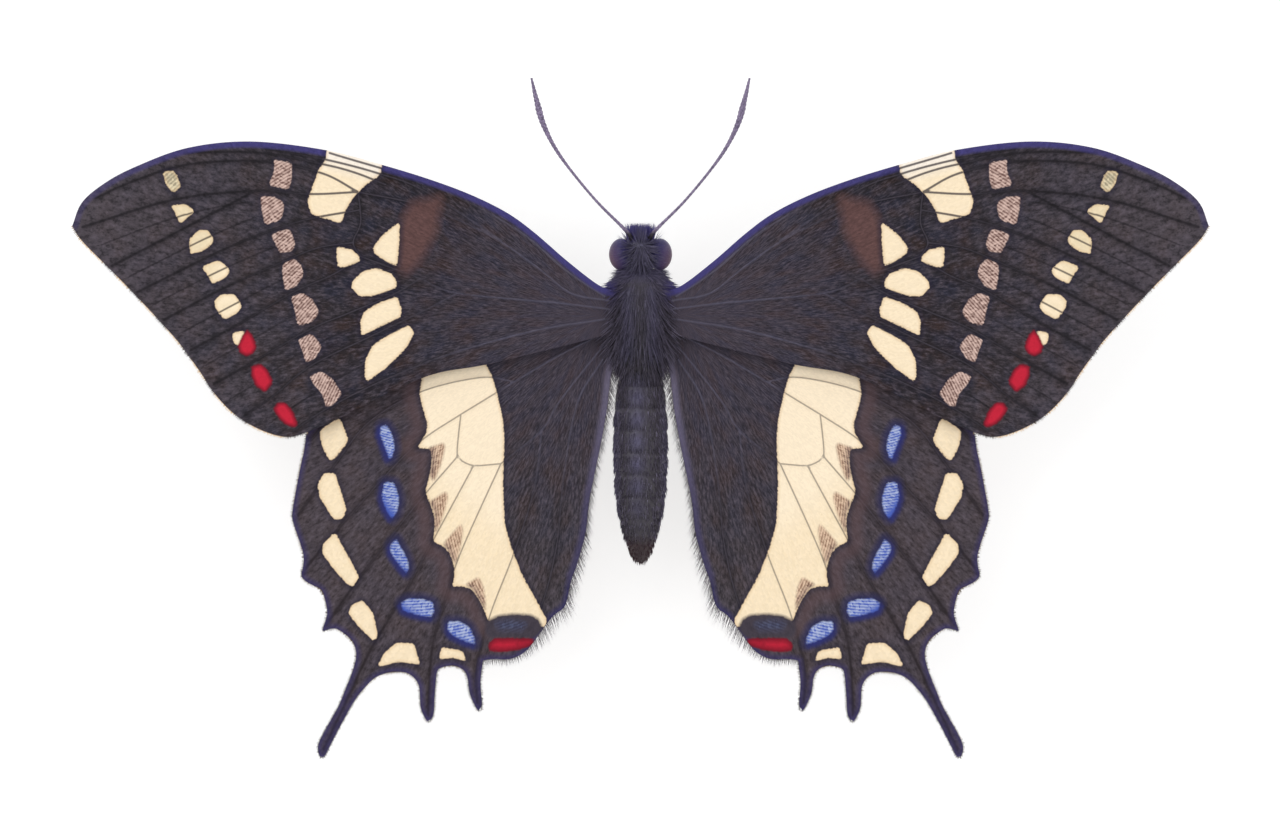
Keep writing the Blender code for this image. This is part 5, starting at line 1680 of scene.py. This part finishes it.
def eye_finish(settings):
    """Clear chitin lenses over dark pigment: glossy, nearly black above, with a painted red-brown
    glow at the outer side where light would come back out of the pigment."""
    made, tree = new_finish("eye_lenses", {"Roughness": 0.30, "Specular IOR Level": 0.25,
                                           "Coat Weight": 0.12, "Coat Roughness": 0.15})
    at = add(tree, "ShaderNodeTexCoord").outputs["Object"]
    depth = add(tree, "ShaderNodeTexNoise", {"Vector": at, "Scale": 0.9 / MM, "Detail": 2.0})
    # Painted glow: the red-brown of light coming back out of the pigment, on the eye's outer side.
    painted_glow = add(tree, "ShaderNodeAttribute", attribute_name="painted_glow").outputs["Fac"]
    pigment = coated(tree, "#3A3462", (painted_glow, settings.eye))
    surface(tree, freckled(tree, pigment, depth.outputs[0], 0.75, 1.2))
    return made


class BUTTERFLY_OT_eyes(bpy.types.Operator):
    """Make the compound eyes"""
    bl_idname = "butterfly.eyes"
    bl_label = "Eyes"

    def execute(self, context):
        finish = eye_finish(context.scene.butterfly_body)
        width, depth, height = (float(radius * MM) for radius in EYE_RADII)
        grown = grow("compound_eye", bpy.data.meshes.new("eye"), lens_tree(), {
            "Width": width, "Length": depth, "Height": height, "Rise": LENS_RISE * MM,
            "Material": finish})
        at = points_of(grown) / EYE_RADII
        # Painted glow, fading away from the outer side of each eye.
        give(grown, "painted_glow", np.clip(GLOW_REACH - np.linalg.norm(at - GLOW_PLACE, axis=1),
                                      0, 1))
        grown.vertices.foreach_set("co", ((at * EYE_RADII + EYE_MIDDLE) * MM).ravel())
        both_sides("compound_eye", outwards(grown), finish, "eye", "eye")
        return {"FINISHED"}


# Stage

# Name, place in metres, size and power of each soft light.
LIGHTS = (("key", (-0.45, 0.40, 0.75), 0.9, 3.75), ("fill", (0.60, -0.25, 0.70), 1.0, 2.3))
SKY_STRENGTH = 0.70
FLOOR_HALF = 1.5
SENSOR_WIDTH = 36.0
# The camera's place over the wings, across and ahead.
VIEW_X, VIEW_Y = -0.05, 0.43
WHITE = (1.0, 1.0, 1.0, 1.0)


class BUTTERFLY_OT_stage(bpy.types.Operator):
    """Make the pale floor, the soft lights and the camera above the wings"""
    bl_idname = "butterfly.stage"
    bl_label = "Stage"

    def execute(self, context):
        scene = context.scene
        settings = scene.butterfly_stage
        mesh = bpy.data.meshes.new("floor")
        half = FLOOR_HALF
        mesh.from_pydata([(-half, -half, 0), (half, -half, 0), (half, half, 0),
                          (-half, half, 0)], [], [(0, 1, 2, 3)])
        floor = bpy.data.objects.new("floor", mesh)
        scene.collection.objects.link(floor)
        mesh.materials.append(self.floor_finish(settings))
        for name, place_m, size, power in LIGHTS:
            light = bpy.data.lights.new(name, "AREA")
            light.size = size
            light.energy = power
            lamp = bpy.data.objects.new(name, light)
            scene.collection.objects.link(lamp)
            lamp.location = place_m
            lamp.rotation_euler = (-Vector(place_m)).to_track_quat("-Z", "Y").to_euler()
        world = bpy.data.worlds.new("studio")
        world.use_nodes = True
        sky = world.node_tree.nodes["Background"]
        sky.inputs["Color"].default_value = WHITE
        sky.inputs["Strength"].default_value = SKY_STRENGTH
        scene.world = world
        scene.view_settings.view_transform = "Standard"
        camera = bpy.data.cameras.new("camera")
        camera.sensor_width = SENSOR_WIDTH
        camera.lens = settings.focal
        camera.clip_start, camera.clip_end = 0.01, 10.0
        eye = bpy.data.objects.new("camera", camera)
        scene.collection.objects.link(eye)
        distance = settings.view_width * settings.focal / SENSOR_WIDTH
        eye.location = (VIEW_X * MM, VIEW_Y * MM, FORE_ROOT_Z * MM + distance)
        scene.camera = eye
        return {"FINISHED"}

    @staticmethod
    def floor_finish(settings):
        """Matt white sheet on a light table: bright and even, lit faintly from below so that
        shadows stay soft, with a barely visible tooth."""
        made, tree = new_finish("matt_board", {
            "Emission Color": WHITE, "Emission Strength": settings.glow, "Roughness": 0.9,
            "Specular IOR Level": 0.1})
        at = add(tree, "ShaderNodeTexCoord").outputs["Object"]
        tooth = add(tree, "ShaderNodeTexNoise", {"Vector": at, "Scale": 0.8 / MM})
        surface(tree, coated(tree, settings.floor, (tooth.outputs[0], "#B8B8B8")))
        return made


# Add-on

OPERATORS = (BUTTERFLY_OT_stage, BUTTERFLY_OT_forewings, BUTTERFLY_OT_hindwings,
             BUTTERFLY_OT_margin_hair, BUTTERFLY_OT_body, BUTTERFLY_OT_feelers,
             BUTTERFLY_OT_legs, BUTTERFLY_OT_mouth, BUTTERFLY_OT_eyes)


class BUTTERFLY_PT_panel(bpy.types.Panel):
    """Buttons and settings of the butterfly"""
    bl_idname = "BUTTERFLY_PT_panel"
    bl_label = "Butterfly"
    bl_space_type = "VIEW_3D"
    bl_region_type = "UI"
    bl_category = "Butterfly"

    def draw(self, context):
        layout = self.layout
        for group in ("butterfly_wings", "butterfly_body", "butterfly_stage"):
            settings = getattr(context.scene, group)
            for name in settings.bl_rna.properties.keys():
                if name not in ("rna_type", "name"):
                    layout.prop(settings, name)
        for operator in OPERATORS:
            layout.operator(operator.bl_idname)


GROUPS = (("butterfly_wings", WingSettings), ("butterfly_body", BodySettings),
          ("butterfly_stage", StageSettings))


def register():
    """Add the settings, the operators and the panel."""
    for name, group in GROUPS:
        bpy.utils.register_class(group)
        setattr(bpy.types.Scene, name, bpy.props.PointerProperty(type=group))
    for made in (*OPERATORS, BUTTERFLY_PT_panel):
        bpy.utils.register_class(made)


def unregister():
    """Take away what register added."""
    for made in reversed((*OPERATORS, BUTTERFLY_PT_panel)):
        bpy.utils.unregister_class(made)
    for name, group in reversed(GROUPS):
        delattr(bpy.types.Scene, name)
        bpy.utils.unregister_class(group)


def main():
    """Make every piece."""
    register()
    for operator in OPERATORS:
        area, name = operator.bl_idname.split(".")
        getattr(getattr(bpy.ops, area), name)()


if __name__ == "__main__":
    main()
